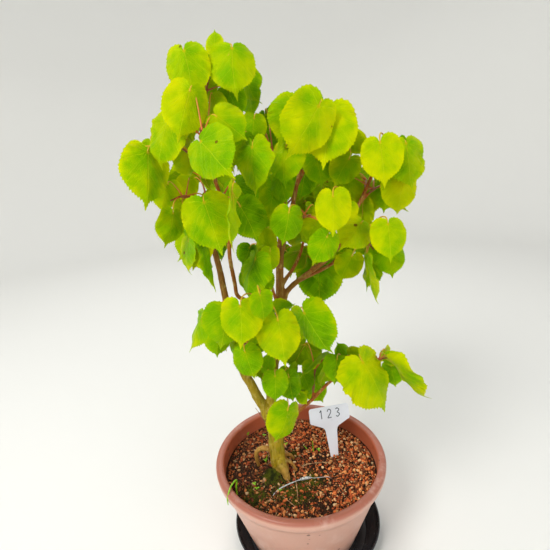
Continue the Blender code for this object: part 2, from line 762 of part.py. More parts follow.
def shoot_object(name, plant, leaf_material):
    """A twig with its leaves, joined in one body."""
    twig = plant["twig"]
    vertices, faces = tube(twig, plant["sizes"], TWIG_SIDES)
    body = placed("shoot_" + name, mesh_of(name, vertices, faces), leaf_material)
    leaves = []
    for leaf in plant["leaves"]:
        made, tris, _ = leaf_mesh(*leaf)
        leaves.append(placed("leaf", mesh_of("leaf", made, tris)))
    if leaves:
        boolean(body, leaves, "UNION", "MANIFOLD")
    return body


def tree(plants, bark):
    """Trunk, stems, limbs, roots and the stubs of every twig, joined in one body."""
    tubes = [tube(*limb_route(limb), limb.sides) for limb in (*LIMBS, *ROOTS)]
    tubes += [tube(plant["stub"], [TWIG_RADIUS] * 2, TWIG_SIDES + 1) for plant in plants.values()]
    first, *others = [placed("trunk_and_limbs", mesh_of("wood", *made), bark) for made in tubes]
    boolean(first, others, "UNION")
    return smoothed(first)


def pot_floor():
    """The top of the pot's floor, and the radius inside the wall there."""
    top = POT_FOOT + POT_FOOT_RING + POT_FLOOR
    slope = (POT_NECK_RADIUS - POT_FOOT_RADIUS) / (POT_NECK - POT_FOOT)
    return top, POT_FOOT_RADIUS + slope * (top - POT_FOOT) - POT_WALL


def pot(plastic):
    """The pot: a tapered wall under a rolled rim, on a foot ring, with drain holes in its floor."""
    top = RIM_TOP - RIM_ROLL
    floor_top, inner_floor = pot_floor()
    profile = [
        (0, POT_FOOT + POT_FOOT_RING),
        (POT_FOOT_RADIUS - 5, POT_FOOT + POT_FOOT_RING),
        (POT_FOOT_RADIUS - 4, POT_FOOT),
        (POT_FOOT_RADIUS, POT_FOOT),
        (POT_NECK_RADIUS, POT_NECK),
        (RIM_RADIUS - 2.4, RIM_TOP - 15),
        (RIM_RADIUS, RIM_TOP - 9),
        *arc((RIM_RADIUS - RIM_ROLL, top), RIM_ROLL, 15, 90, 2),
        *arc((RIM_INNER_RADIUS + RIM_ROLL, top), RIM_ROLL, 105, 180, 1),
        (RIM_INNER_RADIUS, SOIL_LEVEL),
        (inner_floor, floor_top),
        (0, floor_top),
    ]
    body = placed("pot", mesh_of("pot", *lathe(profile, POT_SIDES)), plastic)
    drills = []
    for hole in range(DRAIN_HOLES):
        angle = math.tau * hole / DRAIN_HOLES
        centre = Vector((DRAIN_CIRCLE * math.cos(angle), DRAIN_CIRCLE * math.sin(angle), POT_FOOT))
        ends = [centre, centre + Vector((0, 0, POT_FOOT_RING + POT_FLOOR + 3))]
        drills.append(placed("drill", mesh_of("drill", *tube(ends, (DRAIN_RADIUS, DRAIN_RADIUS), 10))))
    boolean(body, drills, "DIFFERENCE")
    return smoothed(body)


def saucer(plastic):
    """A shallow black dish with a flared wall and a rounded lip."""
    lip = SAUCER_WALL / 2
    inner = SAUCER_FOOT_RADIUS - SAUCER_WALL
    profile = [
        (0, 0),
        (SAUCER_FOOT_RADIUS - 2, 0),
        (SAUCER_FOOT_RADIUS, 1.5),
        (SAUCER_RIM_RADIUS, SAUCER_HEIGHT - lip),
        (SAUCER_RIM_RADIUS - lip, SAUCER_HEIGHT),
        (SAUCER_RIM_RADIUS - SAUCER_WALL, SAUCER_HEIGHT - lip),
        (inner, SAUCER_FLOOR + 1),
        (inner - 2, SAUCER_FLOOR),
        (0, SAUCER_FLOOR),
    ]
    vertices, faces = lathe(profile, POT_SIDES)
    moved = [vertex + SAUCER_CENTRE for vertex in vertices]
    return smoothed(placed("saucer", mesh_of("saucer", moved, faces), plastic))


def soil_lift(point):
    """How far the soil's surface stands off its level: a mound under the trunk, and coarse grain."""
    if point.z < SOIL_LEVEL - 1:
        return 0.0
    away = (Vector((point.x, point.y)) - SOIL_MOUND_CENTRE).length
    mound = SOIL_MOUND * math.exp(-((away / SOIL_MOUND_SPREAD) ** 2) / 2)
    grain = math.sin(point.x * 0.61 + 1) * math.sin(point.y * 0.53)
    grain += math.sin(point.x * 0.23 - point.y * 0.31)
    return mound + SOIL_GRAIN * grain * min(1.0, max(0.0, (SOIL_RINGS[0] - point.xy.length) / 12))


def soil(earth):
    """The soil fills the pot up to its level, with plain holes for the roots, the label and the wire."""
    pot_floor_top, wall_at_floor = pot_floor()
    foot = pot_floor_top + GAP
    edge = RIM_INNER_RADIUS - SOIL_WALL_GAP
    profile = [(0, foot), (wall_at_floor - SOIL_WALL_GAP, foot), (edge, SOIL_LEVEL)]
    profile += [(radius, SOIL_LEVEL) for radius in SOIL_RINGS] + [(0, SOIL_LEVEL)]
    body = placed("soil", mesh_of("soil", *lathe(profile, SOIL_SIDES, soil_lift)), earth)
    trunk, strand = LIMBS[0], wire_route()
    buried = [(trunk.route[1], trunk.route[0], trunk.radii[0])]
    buried += [(root.route[-2], root.route[-1], root.radii[-2]) for root in ROOTS]
    buried += [(strand[2], strand[0], 2 * WIRE_RADIUS), (strand[-3], strand[-1], 2 * WIRE_RADIUS)]
    cutters = [label_solid("slot", GAP)]
    for upper, end, radius in buried:
        rise = (Vector(upper) - Vector(end)).normalized()
        ends = [Vector(end) - rise * GAP, Vector(upper) + rise * radius * 2]
        cutters.append(placed("hole", mesh_of("hole", *tube(ends, [radius + HOLE_ROOM] * 2, HOLE_SIDES))))
    boolean(body, cutters, "DIFFERENCE", "MANIFOLD")
    return body


def label_outline(grow_by):
    """The label's outline in its own plane, its foot's tip at the origin and its head up."""
    half = LABEL_WIDTH / 2
    side_low = LABEL_LENGTH - LABEL_SIDE
    neck = LABEL_LENGTH - LABEL_SHOULDER
    corner = 3.5
    right = [
        (LABEL_STEM_FOOT / 2 - 1.5, 0.0),
        (LABEL_STEM_FOOT / 2, 5.0),
        (LABEL_STEM_TOP / 2, neck - 7),
        (LABEL_STEM_TOP / 2 + 1.0, neck - 2.5),
        (LABEL_STEM_TOP / 2 + 4.5, neck + 1.0),
        (half - corner, side_low),
        (half - 1, side_low + 1),
        (half, side_low + corner),
        (half, LABEL_LENGTH - corner),
        (half - 1, LABEL_LENGTH - 1),
        (half - corner, LABEL_LENGTH),
    ]
    whole = right + [(-x, y) for x, y in reversed(right)]
    if not grow_by:
        return whole
    return [(x + math.copysign(grow_by, x), y - (grow_by if y < 1 else 0)) for x, y in whole]


def label_place():
    lean = Matrix.Rotation(math.radians(-LABEL_LEAN_BACK), 4, "X")
    turn = Matrix.Rotation(math.radians(LABEL_TURN), 4, "Z")
    upright = Matrix.Rotation(math.radians(90), 4, "X")
    return Matrix.Translation(LABEL_FOOT) @ turn @ lean @ Matrix.Translation((0, 0, -LABEL_BURIED)) @ upright


def label_solid(name, grow_by=0.0, plastic=None):
    """The label as an extruded outline, or a slot a little larger than it."""
    outline = label_outline(grow_by)
    half = LABEL_THICKNESS / 2 + grow_by
    place = label_place()
    front = [place @ Vector((x, y, half)) for x, y in outline]
    back = [place @ Vector((x, y, -half)) for x, y in outline]
    n = len(outline)
    faces = [tuple(range(n)), tuple(reversed(range(n, 2 * n)))]
    faces += [(k, n + k, n + (k + 1) % n, (k + 1) % n) for k in range(n)]
    return placed(name, mesh_of(name, front + back, faces), plastic)


def wire_route():
    """The wire comes up through the soil, lies on it in front of the roots and goes down again."""
    crossing = ((-28, -41), (-12, -34), (4, -27.5), (20, -26.5), (32, -26))
    height = SOIL_LEVEL + WIRE_RADIUS + WIRE_OFF_SOIL
    laid = [(x, y, height + soil_lift(Vector((x, y, SOIL_LEVEL)))) for x, y in crossing]
    points = [(-38, -47.5, 90), (-38, -47.5, 104.8), *laid, (40.5, -25.7, 104.8), (40.5, -25.7, 90)]
    return smooth_route(points, [WIRE_RADIUS] * len(points), 2)[0]


def wire(metal):
    """The tie wire, thick in the middle where its two ends are twisted together."""
    route = wire_route()
    middle = len(route) // 2
    radii = [WIRE_KNOT_RADIUS if abs(k - middle) < 2 else WIRE_RADIUS for k in range(len(route))]
    return placed("tie_wire", mesh_of("wire", *tube(route, radii, WIRE_SIDES)), metal)


def main():
    for obj in list(bpy.data.objects):
        bpy.data.objects.remove(obj)
    bark = material("bark", (0.22, 0.17, 0.07), 0.75)
    leaf = material("leaf", (0.33, 0.55, 0.03), 0.45)
    terracotta = material("terracotta_plastic", (0.60, 0.33, 0.25), 0.5)
    black = material("black_plastic", (0.02, 0.022, 0.025), 0.4)
    earth = material("crushed_brick", (0.36, 0.14, 0.07), 0.95)
    white = material("white_plastic", (0.80, 0.81, 0.84), 0.35)
    metal = material("wire", (0.62, 0.63, 0.63), 0.35, 1.0)
    plants = grow()
    tree(plants, bark)
    for name, plant in plants.items():
        shoot_object(name, plant, leaf)
    pot(terracotta)
    saucer(black)
    soil(earth)
    label_solid("plant_label", plastic=white)
    wire(metal)


if __name__ == "__main__":
    main()
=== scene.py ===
# %% [markdown]
# A young small-leaved lime, grown as a bonsai in a round plastic pot. The solids that carry it are already
# built: a trunk with limbs, 37 leafy shoots, soil, pot, saucer, a plant label and a tie wire. This notebook
# gives them their looks. Each step says what the real thing is, how it could be made, and why this way was
# chosen. Lengths are in millimetres, as on a drawing, until a mesh is made: MM turns them into Blender's
# metres.

# %% Load the frame
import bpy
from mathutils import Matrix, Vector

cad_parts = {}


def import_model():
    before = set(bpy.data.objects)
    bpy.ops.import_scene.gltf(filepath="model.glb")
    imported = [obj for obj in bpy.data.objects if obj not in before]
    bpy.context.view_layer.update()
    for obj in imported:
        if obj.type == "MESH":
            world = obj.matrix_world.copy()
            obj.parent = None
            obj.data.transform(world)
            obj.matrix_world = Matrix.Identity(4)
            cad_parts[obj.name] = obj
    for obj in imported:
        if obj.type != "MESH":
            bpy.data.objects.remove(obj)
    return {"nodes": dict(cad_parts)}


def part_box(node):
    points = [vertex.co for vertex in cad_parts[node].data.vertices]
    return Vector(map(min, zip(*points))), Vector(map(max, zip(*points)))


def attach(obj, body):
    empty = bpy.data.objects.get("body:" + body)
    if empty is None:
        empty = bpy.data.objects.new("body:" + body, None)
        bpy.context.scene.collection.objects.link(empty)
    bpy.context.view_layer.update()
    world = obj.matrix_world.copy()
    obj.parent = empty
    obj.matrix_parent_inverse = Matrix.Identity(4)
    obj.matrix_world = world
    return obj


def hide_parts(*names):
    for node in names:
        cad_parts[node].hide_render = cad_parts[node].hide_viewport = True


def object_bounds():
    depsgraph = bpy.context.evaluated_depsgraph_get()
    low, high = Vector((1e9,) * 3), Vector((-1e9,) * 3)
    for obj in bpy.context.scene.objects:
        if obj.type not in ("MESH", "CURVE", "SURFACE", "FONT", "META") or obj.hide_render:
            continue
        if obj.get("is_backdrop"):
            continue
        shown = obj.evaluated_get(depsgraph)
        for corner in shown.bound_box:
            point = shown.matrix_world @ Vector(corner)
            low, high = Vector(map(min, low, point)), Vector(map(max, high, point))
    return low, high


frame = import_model()
cad_low, cad_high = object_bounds()
print("solids:", len(frame["nodes"]), "box:", [round(v, 4) for v in (*cad_low, *cad_high)])

# %% Blender's modules and the units
import math
import random
from collections import namedtuple

import bmesh
import bpy
from mathutils import Matrix, Quaternion, Vector, noise
from mathutils.bvhtree import BVHTree
from mathutils.kdtree import KDTree

MM = 0.001
UP = Vector((0, 0, 1))
BODY = "root"  # nothing on this plant moves, so every piece rides on one body
scene = bpy.context.scene

# %% [markdown]
# The camera. The photograph looks down on the pot from the front and a little from the left, from close by,
# so the verticals lean and the rim looks wide. A camera that is only roughly right would show other sides
# of every leaf, so this one was worked out from the round rim and the label. Its focal length is in pixels
# of the photograph, which is square, and the lens follows from the sensor's width.

# %% The camera
PHOTO_SIZE = 550
PHOTO_FOCAL = 420.0
RIM_TOP = 125.0
PHOTO_EYE = Vector((-20.0, -484.0, RIM_TOP + 411.0))
PHOTO_PITCH = 17.3
PHOTO_ROLL = -3.4


def rotation_of_camera():
    """Columns: the photograph's right, up and backwards."""
    pitch = math.radians(90 - PHOTO_PITCH)
    return Matrix.Rotation(pitch, 3, "X") @ Matrix.Rotation(math.radians(PHOTO_ROLL), 3, "Z")


camera_data = bpy.data.cameras.new("photo_camera")
camera_data.sensor_width = 36
camera_data.lens = PHOTO_FOCAL / PHOTO_SIZE * camera_data.sensor_width
camera = bpy.data.objects.new("photo_camera", camera_data)
scene.collection.objects.link(camera)
camera.matrix_world = Matrix.Translation(PHOTO_EYE * MM) @ rotation_of_camera().to_4x4()
scene.camera = camera
print("lens in mm:", round(camera_data.lens, 2))

# %% [markdown]
# Shapes come from a few small makers of meshes. A mesh is a list of points and a list of faces, so a turned
# shape is a profile carried round an axis, and a stem is a ring of points carried along a route. Writing
# them here keeps every size in the script, where a Screw or a curve's bevel would hide some of them in
# settings.

# %% Makers of meshes
def mesh_of(name, vertices, faces, sharp=40):
    """A smooth mesh with outward faces, from millimetres. Edges sharper than that angle stay sharp."""
    mesh = bpy.data.meshes.new(name)
    mesh.from_pydata([Vector(v) * MM for v in vertices], [], faces)
    work = bmesh.new()
    work.from_mesh(mesh)
    bmesh.ops.recalc_face_normals(work, faces=work.faces)
    work.to_mesh(mesh)
    work.free()
    mesh.shade_smooth()
    mesh.set_sharp_from_angle(angle=math.radians(sharp))
    return mesh


def carry(mesh, name, rows):
    """Lets a mesh carry three numbers at each of its points, for a material to read."""
    flat = [number for row in rows for number in row]
    mesh.attributes.new(name, "FLOAT_VECTOR", "POINT").data.foreach_set("vector", flat)


def piece(name, mesh, *materials, slot, instead_of=()):
    """A finished piece: it rides on the plant, has its materials and hides the solids it stands for."""
    made = bpy.data.objects.new(name, mesh)
    scene.collection.objects.link(made)
    for material in materials:
        mesh.materials.append(material)
    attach(made, BODY)
    if instead_of:
        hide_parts(*instead_of)
    print("piece:", name, "faces:", len(mesh.polygons))


def lathe(profile, sides, lift=None):
    """Points and faces of a profile of (radius, height) turned about Z, each point lifted by its place."""
    vertices, rings, faces = [], [], []
    for radius, height in profile:
        ring = []
        for side in range(1 if radius == 0 else sides):
            angle = math.tau * side / sides
            point = Vector((radius * math.cos(angle), radius * math.sin(angle), height))
            if lift:
                point.z += lift(point)
            ring.append(len(vertices))
            vertices.append(point)
        rings.append(ring)
    closed = profile[0][0] != 0
    for k in range(len(rings) - (0 if closed else 1)):
        one, two = rings[k], rings[(k + 1) % len(rings)]
        for side in range(sides):
            here, there = side % len(one), (side + 1) % sides % len(one)
            above, beside = side % len(two), (side + 1) % sides % len(two)
            faces.append(tuple(dict.fromkeys((one[here], one[there], two[beside], two[above]))))
    return vertices, faces


def arc(centre, radius, start, end, steps):
    """Points on an arc in a profile, its angles in degrees."""
    angles = [math.radians(start + (end - start) * k / steps) for k in range(steps + 1)]
    return [(centre[0] + radius * math.cos(a), centre[1] + radius * math.sin(a)) for a in angles]


def heading(route, k):
    """The direction of a route at one of its points."""
    return (route[min(k + 1, len(route) - 1)] - route[max(k - 1, 0)]).normalized()


def tube(route, radii, sides):
    """Points and faces of a closed tube whose rings don't twist."""
    vertices, faces = [], []
    across = None
    for k, point in enumerate(route):
        ahead = heading(route, k)
        if across is None:
            across = ahead.orthogonal().normalized()
        across = (across - ahead * across.dot(ahead)).normalized()
        up = ahead.cross(across)
        for side in range(sides):
            angle = math.tau * side / sides
            vertices.append(point + (across * math.cos(angle) + up * math.sin(angle)) * radii[k])
    for k in range(len(route) - 1):
        for side in range(sides):
            after = (side + 1) % sides
            low, high = k * sides, (k + 1) * sides
            faces.append((low + side, low + after, high + after, high + side))
    faces.append(tuple(reversed(range(sides))))
    faces.append(tuple(range((len(route) - 1) * sides, len(route) * sides)))
    return vertices, faces


def smooth_route(points, radii, steps):
    """A Catmull-Rom curve through points, with the radius at each place on it."""
    points = [Vector(p) for p in points]
    full = [points[0] * 2 - points[1], *points, points[-1] * 2 - points[-2]]
    route, sizes = [], []
    for k in range(len(points) - 1):
        before, here, there, after = full[k : k + 4]
        for step in range(steps):
            t = step / steps
            second = before * 2 - here * 5 + there * 4 - after
            third = here * 3 - before - there * 3 + after
            route.append((here * 2 + (there - before) * t + second * t**2 + third * t**3) / 2)
            sizes.append(radii[k] + (radii[k + 1] - radii[k]) * t)
    return [*route, points[-1]], [*sizes, radii[-1]]


def clamp(value):
    """A value kept between 0 and 1."""
    return max(0.0, min(1.0, value))


def joined(*parts):
    """Several (points, faces) as one."""
    vertices, faces = [], []
    for some_vertices, some_faces in parts:
        start = len(vertices)
        vertices += some_vertices
        faces += [tuple(k + start for k in face) for face in some_faces]
    return vertices, faces


# %% [markdown]
# The studio: a pale floor that curves up into a wall all the way round, like a photographer's sweep bent
# into a bowl. From any side the plant then stands in front of the same plain surface, with no edge behind
# it. One large lamp from the upper left gives the leaves their soft shading, a weaker one fills the right
# side, and one behind shines through the leaves, as daylight does.

# %% The studio
FLOOR_RADIUS = 1900.0
WALL_RADIUS = 2500.0
WALL_HEIGHT = 3200.0
SWEEP_SIDES = 96
Lamp = namedtuple("Lamp", "name place size watts colour")
LAMPS = (
    Lamp("key_lamp", (-1.05, -1.15, 1.85), 0.9, 35, (1.0, 0.985, 0.95)),
    Lamp("fill_lamp", (1.3, -1.7, 0.9), 1.6, 11, (0.98, 0.985, 1.0)),
    Lamp("back_lamp", (-0.3, 1.2, 1.9), 1.0, 13, (1.0, 1.0, 0.97)),
)
LAMPS_AIM = Vector((0, 0, 0.3))
WORLD_LIGHT = 0.42

cove = arc((FLOOR_RADIUS, WALL_RADIUS - FLOOR_RADIUS), WALL_RADIUS - FLOOR_RADIUS, -90, 0, 12)
sweep_mesh = mesh_of("sweep", *lathe([(0, 0), *cove, (WALL_RADIUS, WALL_HEIGHT)], SWEEP_SIDES))
sweep_mesh.flip_normals()
sweep = bpy.data.objects.new("sweep", sweep_mesh)
scene.collection.objects.link(sweep)
sweep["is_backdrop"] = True
paper = bpy.data.materials.new("pale_paper")
paper.use_nodes = True
paper_shader = paper.node_tree.nodes["Principled BSDF"]
paper_shader.inputs["Base Color"].default_value = (0.80, 0.80, 0.78, 1)
paper_shader.inputs["Roughness"].default_value = 0.8
sweep_mesh.materials.append(paper)

for lamp in LAMPS:
    light = bpy.data.lights.new(lamp.name, "AREA")
    light.shape = "DISK"
    light.size = lamp.size
    light.energy = lamp.watts
    light.color = lamp.colour
    placed = bpy.data.objects.new(lamp.name, light)
    scene.collection.objects.link(placed)
    placed.location = lamp.place
    aim = LAMPS_AIM - Vector(lamp.place)
    placed.rotation_euler = aim.to_track_quat("-Z", "Y").to_euler()
scene.world = bpy.data.worlds.new("studio")
scene.world.use_nodes = True
sky = scene.world.node_tree.nodes["Background"].inputs
sky["Color"].default_value = (0.98, 0.99, 1.0, 1)
sky["Strength"].default_value = WORLD_LIGHT
scene.view_settings.view_transform = "Standard"
print("lamps:", [lamp.name for lamp in LAMPS])

# %% [markdown]
# Materials are trees of shader nodes. Written out in full each one would take a page, so a few short calls
# make a node, set or link its inputs and hand on its output. Colours are noted as a painter would mix them,
# in the 0 to 255 of a colour picker, and srgb() turns them into the linear values that the renderer adds
# up.

# %% Short calls for shader nodes
def srgb(red, green, blue):
    """A colour-picker colour as linear light."""
    return (*(((c / 255 + 0.055) / 1.055) ** 2.4 if c > 10 else c / 3295 for c in (red, green, blue)), 1.0)


def fill(socket, value):
    """Sets an input, or links it where the value is another node's output."""
    if isinstance(value, bpy.types.NodeSocket):
        socket.id_data.links.new(value, socket)
    else:
        socket.default_value = value


def set_inputs(made, **inputs):
    """Sets or links a node's inputs by their names, with _ for a space."""
    for name, value in inputs.items():
        fill(made.inputs[name.replace("_", " ")], value)


def node(tree, kind, settings=None, **inputs):
    made = tree.nodes.new("ShaderNode" + kind)
    for name, value in (settings or {}).items():
        setattr(made, name, value)
    set_inputs(made, **inputs)
    return made


def calc(tree, operation, *values):
    """The result of one Math node."""
    made = node(tree, "Math", {"operation": operation})
    for socket, value in zip(made.inputs, values):
        fill(socket, value)
    return made.outputs[0]


def times(tree, one, two):
    return calc(tree, "MULTIPLY", one, two)


def length_of(tree, x, y):
    return calc(tree, "SQRT", calc(tree, "ADD", times(tree, x, x), times(tree, y, y)))


def coats(tree, colour, *layers):
    """A colour with others over it, each given as a share and a colour."""
    for layer in layers:
        mix = node(tree, "Mix", {"data_type": "RGBA"})
        for place, value in zip((0, 6, 7), (layer[0], colour, layer[1])):
            fill(mix.inputs[place], value)
        colour = mix.outputs[2]
    return colour


def between(tree, value, low, high, start=0.0, end=1.0):
    """A value's way from low to high, softly, as a share or between two other values."""
    made = node(tree, "MapRange", {"interpolation_type": "SMOOTHSTEP"}, Value=value)
    for name, setting in (("From Min", low), ("From Max", high), ("To Min", start), ("To Max", end)):
        fill(made.inputs[name], setting)
    return made.outputs[0]


def noise_of(tree, size, detail=3.0, roughness=0.55, stretch=(1, 1, 1), shift=0.0):
    """Cloudy noise with features of this size in millimetres."""
    where = node(tree, "TexCoord").outputs["Object"]
    mapping = node(tree, "Mapping", Vector=where)
    mapping.inputs["Scale"].default_value = [1 / (MM * s) for s in stretch]
    mapping.inputs["Location"].default_value = (shift, shift * 1.7, shift * 0.6)
    made = node(tree, "TexNoise", Vector=mapping.outputs[0], Detail=detail, Roughness=roughness)
    made.inputs["Scale"].default_value = 1 / size
    return made.outputs["Fac"]


def attribute(tree, name, part="Vector"):
    """A value that the mesh carries at each of its points."""
    return node(tree, "Attribute", {"attribute_name": name}).outputs[part]


def parts_of(tree, vector):
    return node(tree, "SeparateXYZ", Vector=vector).outputs


def bump(tree, height, strength, distance):
    """Relief from a height in shares of a distance in millimetres."""
    made = node(tree, "Bump", Height=height, Strength=strength)
    made.inputs["Distance"].default_value = distance * MM
    return made.outputs[0]


def material(name, roughness=0.5):
    """A new material: its node tree and its Principled shader."""
    made = bpy.data.materials.new(name)
    made.use_nodes = True
    shader = made.node_tree.nodes["Principled BSDF"]
    shader.inputs["Roughness"].default_value = roughness
    return made, made.node_tree, shader


# %% [markdown]
# Three effects come back on several surfaces, so each is a node group, built once. Speckle scatters small
# spots: soil on the pot, rot spots on leaves, lenticels on twigs. Weathering is the cloudy film of dust and
# lime that watering leaves. Moulded grain is the fine orange-peel relief of plastic from a mould.

# %% Groups that several materials share
def group(name, inputs, outputs):
    """An empty node group with named sockets: the tree, its input sockets and its output node."""
    tree = bpy.data.node_groups.new(name, "ShaderNodeTree")
    for socket, start in inputs:
        made = tree.interface.new_socket(name=socket, in_out="INPUT", socket_type="NodeSocketFloat")
        made.default_value = start
    for socket in outputs:
        tree.interface.new_socket(name=socket, in_out="OUTPUT", socket_type="NodeSocketFloat")
    return tree, tree.nodes.new("NodeGroupInput").outputs, tree.nodes.new("NodeGroupOutput").inputs


def millimetres(tree):
    """The place on the object in millimetres."""
    where = node(tree, "TexCoord").outputs["Object"]
    scaled = node(tree, "VectorMath", {"operation": "SCALE"}, Vector=where)
    scaled.inputs["Scale"].default_value = 1 / MM
    return scaled.outputs[0]


def speckle_group():
    """Spots of about one size, on a share of the surface's cells."""
    tree, given, out = group("speckle", (("Size", 4.0), ("Share", 0.3), ("Softness", 0.5)), ("Mask",))
    cells = node(tree, "TexVoronoi", {"feature": "F1"}, Vector=millimetres(tree), Randomness=1.0)
    fill(cells.inputs["Scale"], calc(tree, "DIVIDE", 1.0, given["Size"]))
    chosen = calc(tree, "LESS_THAN", parts_of(tree, cells.outputs["Color"])[0], given["Share"])
    radius = calc(tree, "MULTIPLY_ADD", parts_of(tree, cells.outputs["Color"])[1], 0.16, 0.08)
    inner = times(tree, radius, calc(tree, "SUBTRACT", 1.0, given["Softness"]))
    spot = between(tree, cells.outputs["Distance"], inner, radius, 1.0, 0.0)
    fill(out["Mask"], times(tree, spot, chosen))
    return tree


def weathering_group():
    """Cloudy dirt, broken up finely, and streaked where water runs down."""
    tree, given, out = group("weathering", (("Size", 30.0), ("Amount", 0.5), ("Streaks", 0.3)), ("Mask",))
    where = millimetres(tree)
    cloud = node(tree, "TexNoise", Vector=where, Detail=5.0, Roughness=0.62)
    fill(cloud.inputs["Scale"], calc(tree, "DIVIDE", 1.0, given["Size"]))
    run = node(tree, "Mapping", Vector=where)
    run.inputs["Scale"].default_value = (0.22, 0.22, 0.014)
    streak = node(tree, "TexNoise", Vector=run.outputs[0], Scale=1.0, Detail=3.0, Roughness=0.6)
    mixed = calc(tree, "MULTIPLY_ADD", streak.outputs["Fac"], given["Streaks"], cloud.outputs["Fac"])
    level = calc(tree, "DIVIDE", mixed, calc(tree, "ADD", given["Streaks"], 1.0))
    edge = calc(tree, "SUBTRACT", 0.78, times(tree, given["Amount"], 0.5))
    fill(out["Mask"], between(tree, level, edge, calc(tree, "ADD", edge, 0.22)))
    return tree


def moulded_group():
    """Fine even relief: a bumpy skin with a little waviness under it."""
    tree, given, out = group("moulded_grain", (("Size", 0.5), ("Waves", 0.3)), ("Height",))
    where = millimetres(tree)
    fine = node(tree, "TexNoise", Vector=where, Detail=2.0, Roughness=0.5)
    fill(fine.inputs["Scale"], calc(tree, "DIVIDE", 1.0, given["Size"]))
    wide = node(tree, "TexNoise", Vector=where, Scale=0.06, Detail=1.0)
    fill(out["Height"], calc(tree, "MULTIPLY_ADD", wide.outputs["Fac"], given["Waves"], fine.outputs["Fac"]))
    return tree


SPECKLE, WEATHERING, MOULDED = speckle_group(), weathering_group(), moulded_group()


def grouped(tree, which, output, **values):
    """A shared effect placed in a material with its own values."""
    made = node(tree, "Group", {"node_tree": which}, **values)
    return made.outputs[output]


print("shared effects:", SPECKLE.name, WEATHERING.name, MOULDED.name)

# %% [markdown]
# The skeleton of the tree. Every limb is a route with a radius at each of its points, written from the
# photograph, and each shoot names the limb that it leaves and the height of its place. The leaves that
# the photograph shows are rows of pixels: where the blade joins its stalk and where its tip hangs. A row
# becomes a place in space through the camera, at a chosen distance in front of the pot's axis.

# %% Sizes of twigs and leaves
SEED = 16
GAP = 0.3  # between pieces that touch
# Wood
TRUNK_SIDES = 9
ROOT_SIDES = 7
LIMB_SIDES = 6
TWIG_SIDES = 4
TWIG_STEPS = 4
TWIG_RADIUS = 1.5
TWIG_TIP_RADIUS = 0.9
TWIG_SPUR = 2.5  # a twig's woody stub ends this far off the wood
TWIG_ROOM = 0.4
TWIG_ARCH = 0.18  # how far a twig arches up, as a share of its reach
STUB_STEP = 0.5  # by which a stub is made longer until it is clear
SHORTEST_BIT = 2.0  # between the points of a twig, where it leaves its stub
TWIG_SHIFTS = (0, -8, 8, -16, 16, -24, 24)  # mm along the line of sight, for the twig's end
TWIG_BENDS = (0, -40, 40, -80, 80, -120, 120, 180)  # degrees off upright, in the order they are tried

# Leaves
BLADE_THICKNESS = 0.9
STALK_WIDTH = 1.3
FIRST_STALK = 5.0  # the lowest stalk's place on a twig
LAST_STALK = 1.5  # the highest one's place, from the twig's end
STALK_REACH = 9.0  # a stalk leaves its twig this far before the place nearest to its blade
CLEARANCE = 1.2  # a blade is tested this much thicker than it is
TRIES = 60
STEP_ALONG_SIGHT = 2.0
TIP_FORWARD = 0.3  # how far a tip comes forward, as a share of how far it hangs
LEAN, SWING = 14, 25  # degrees by which a leaf is turned at random, and further while it seeks room
STEADY_TRIES = 6  # before it swings
SWING_SHARE = 60  # degrees of swing that bring the tip forward by as much as it hangs
HALF_OUTLINE = (  # across and along, as shares of the blade's length, from the stalk to the tip
    (0.14, -0.10),
    (0.38, -0.09),
    (0.50, 0.14),
    (0.49, 0.42),
    (0.34, 0.68),
    (0.09, 0.86),
)
MIDRIB = 0.42


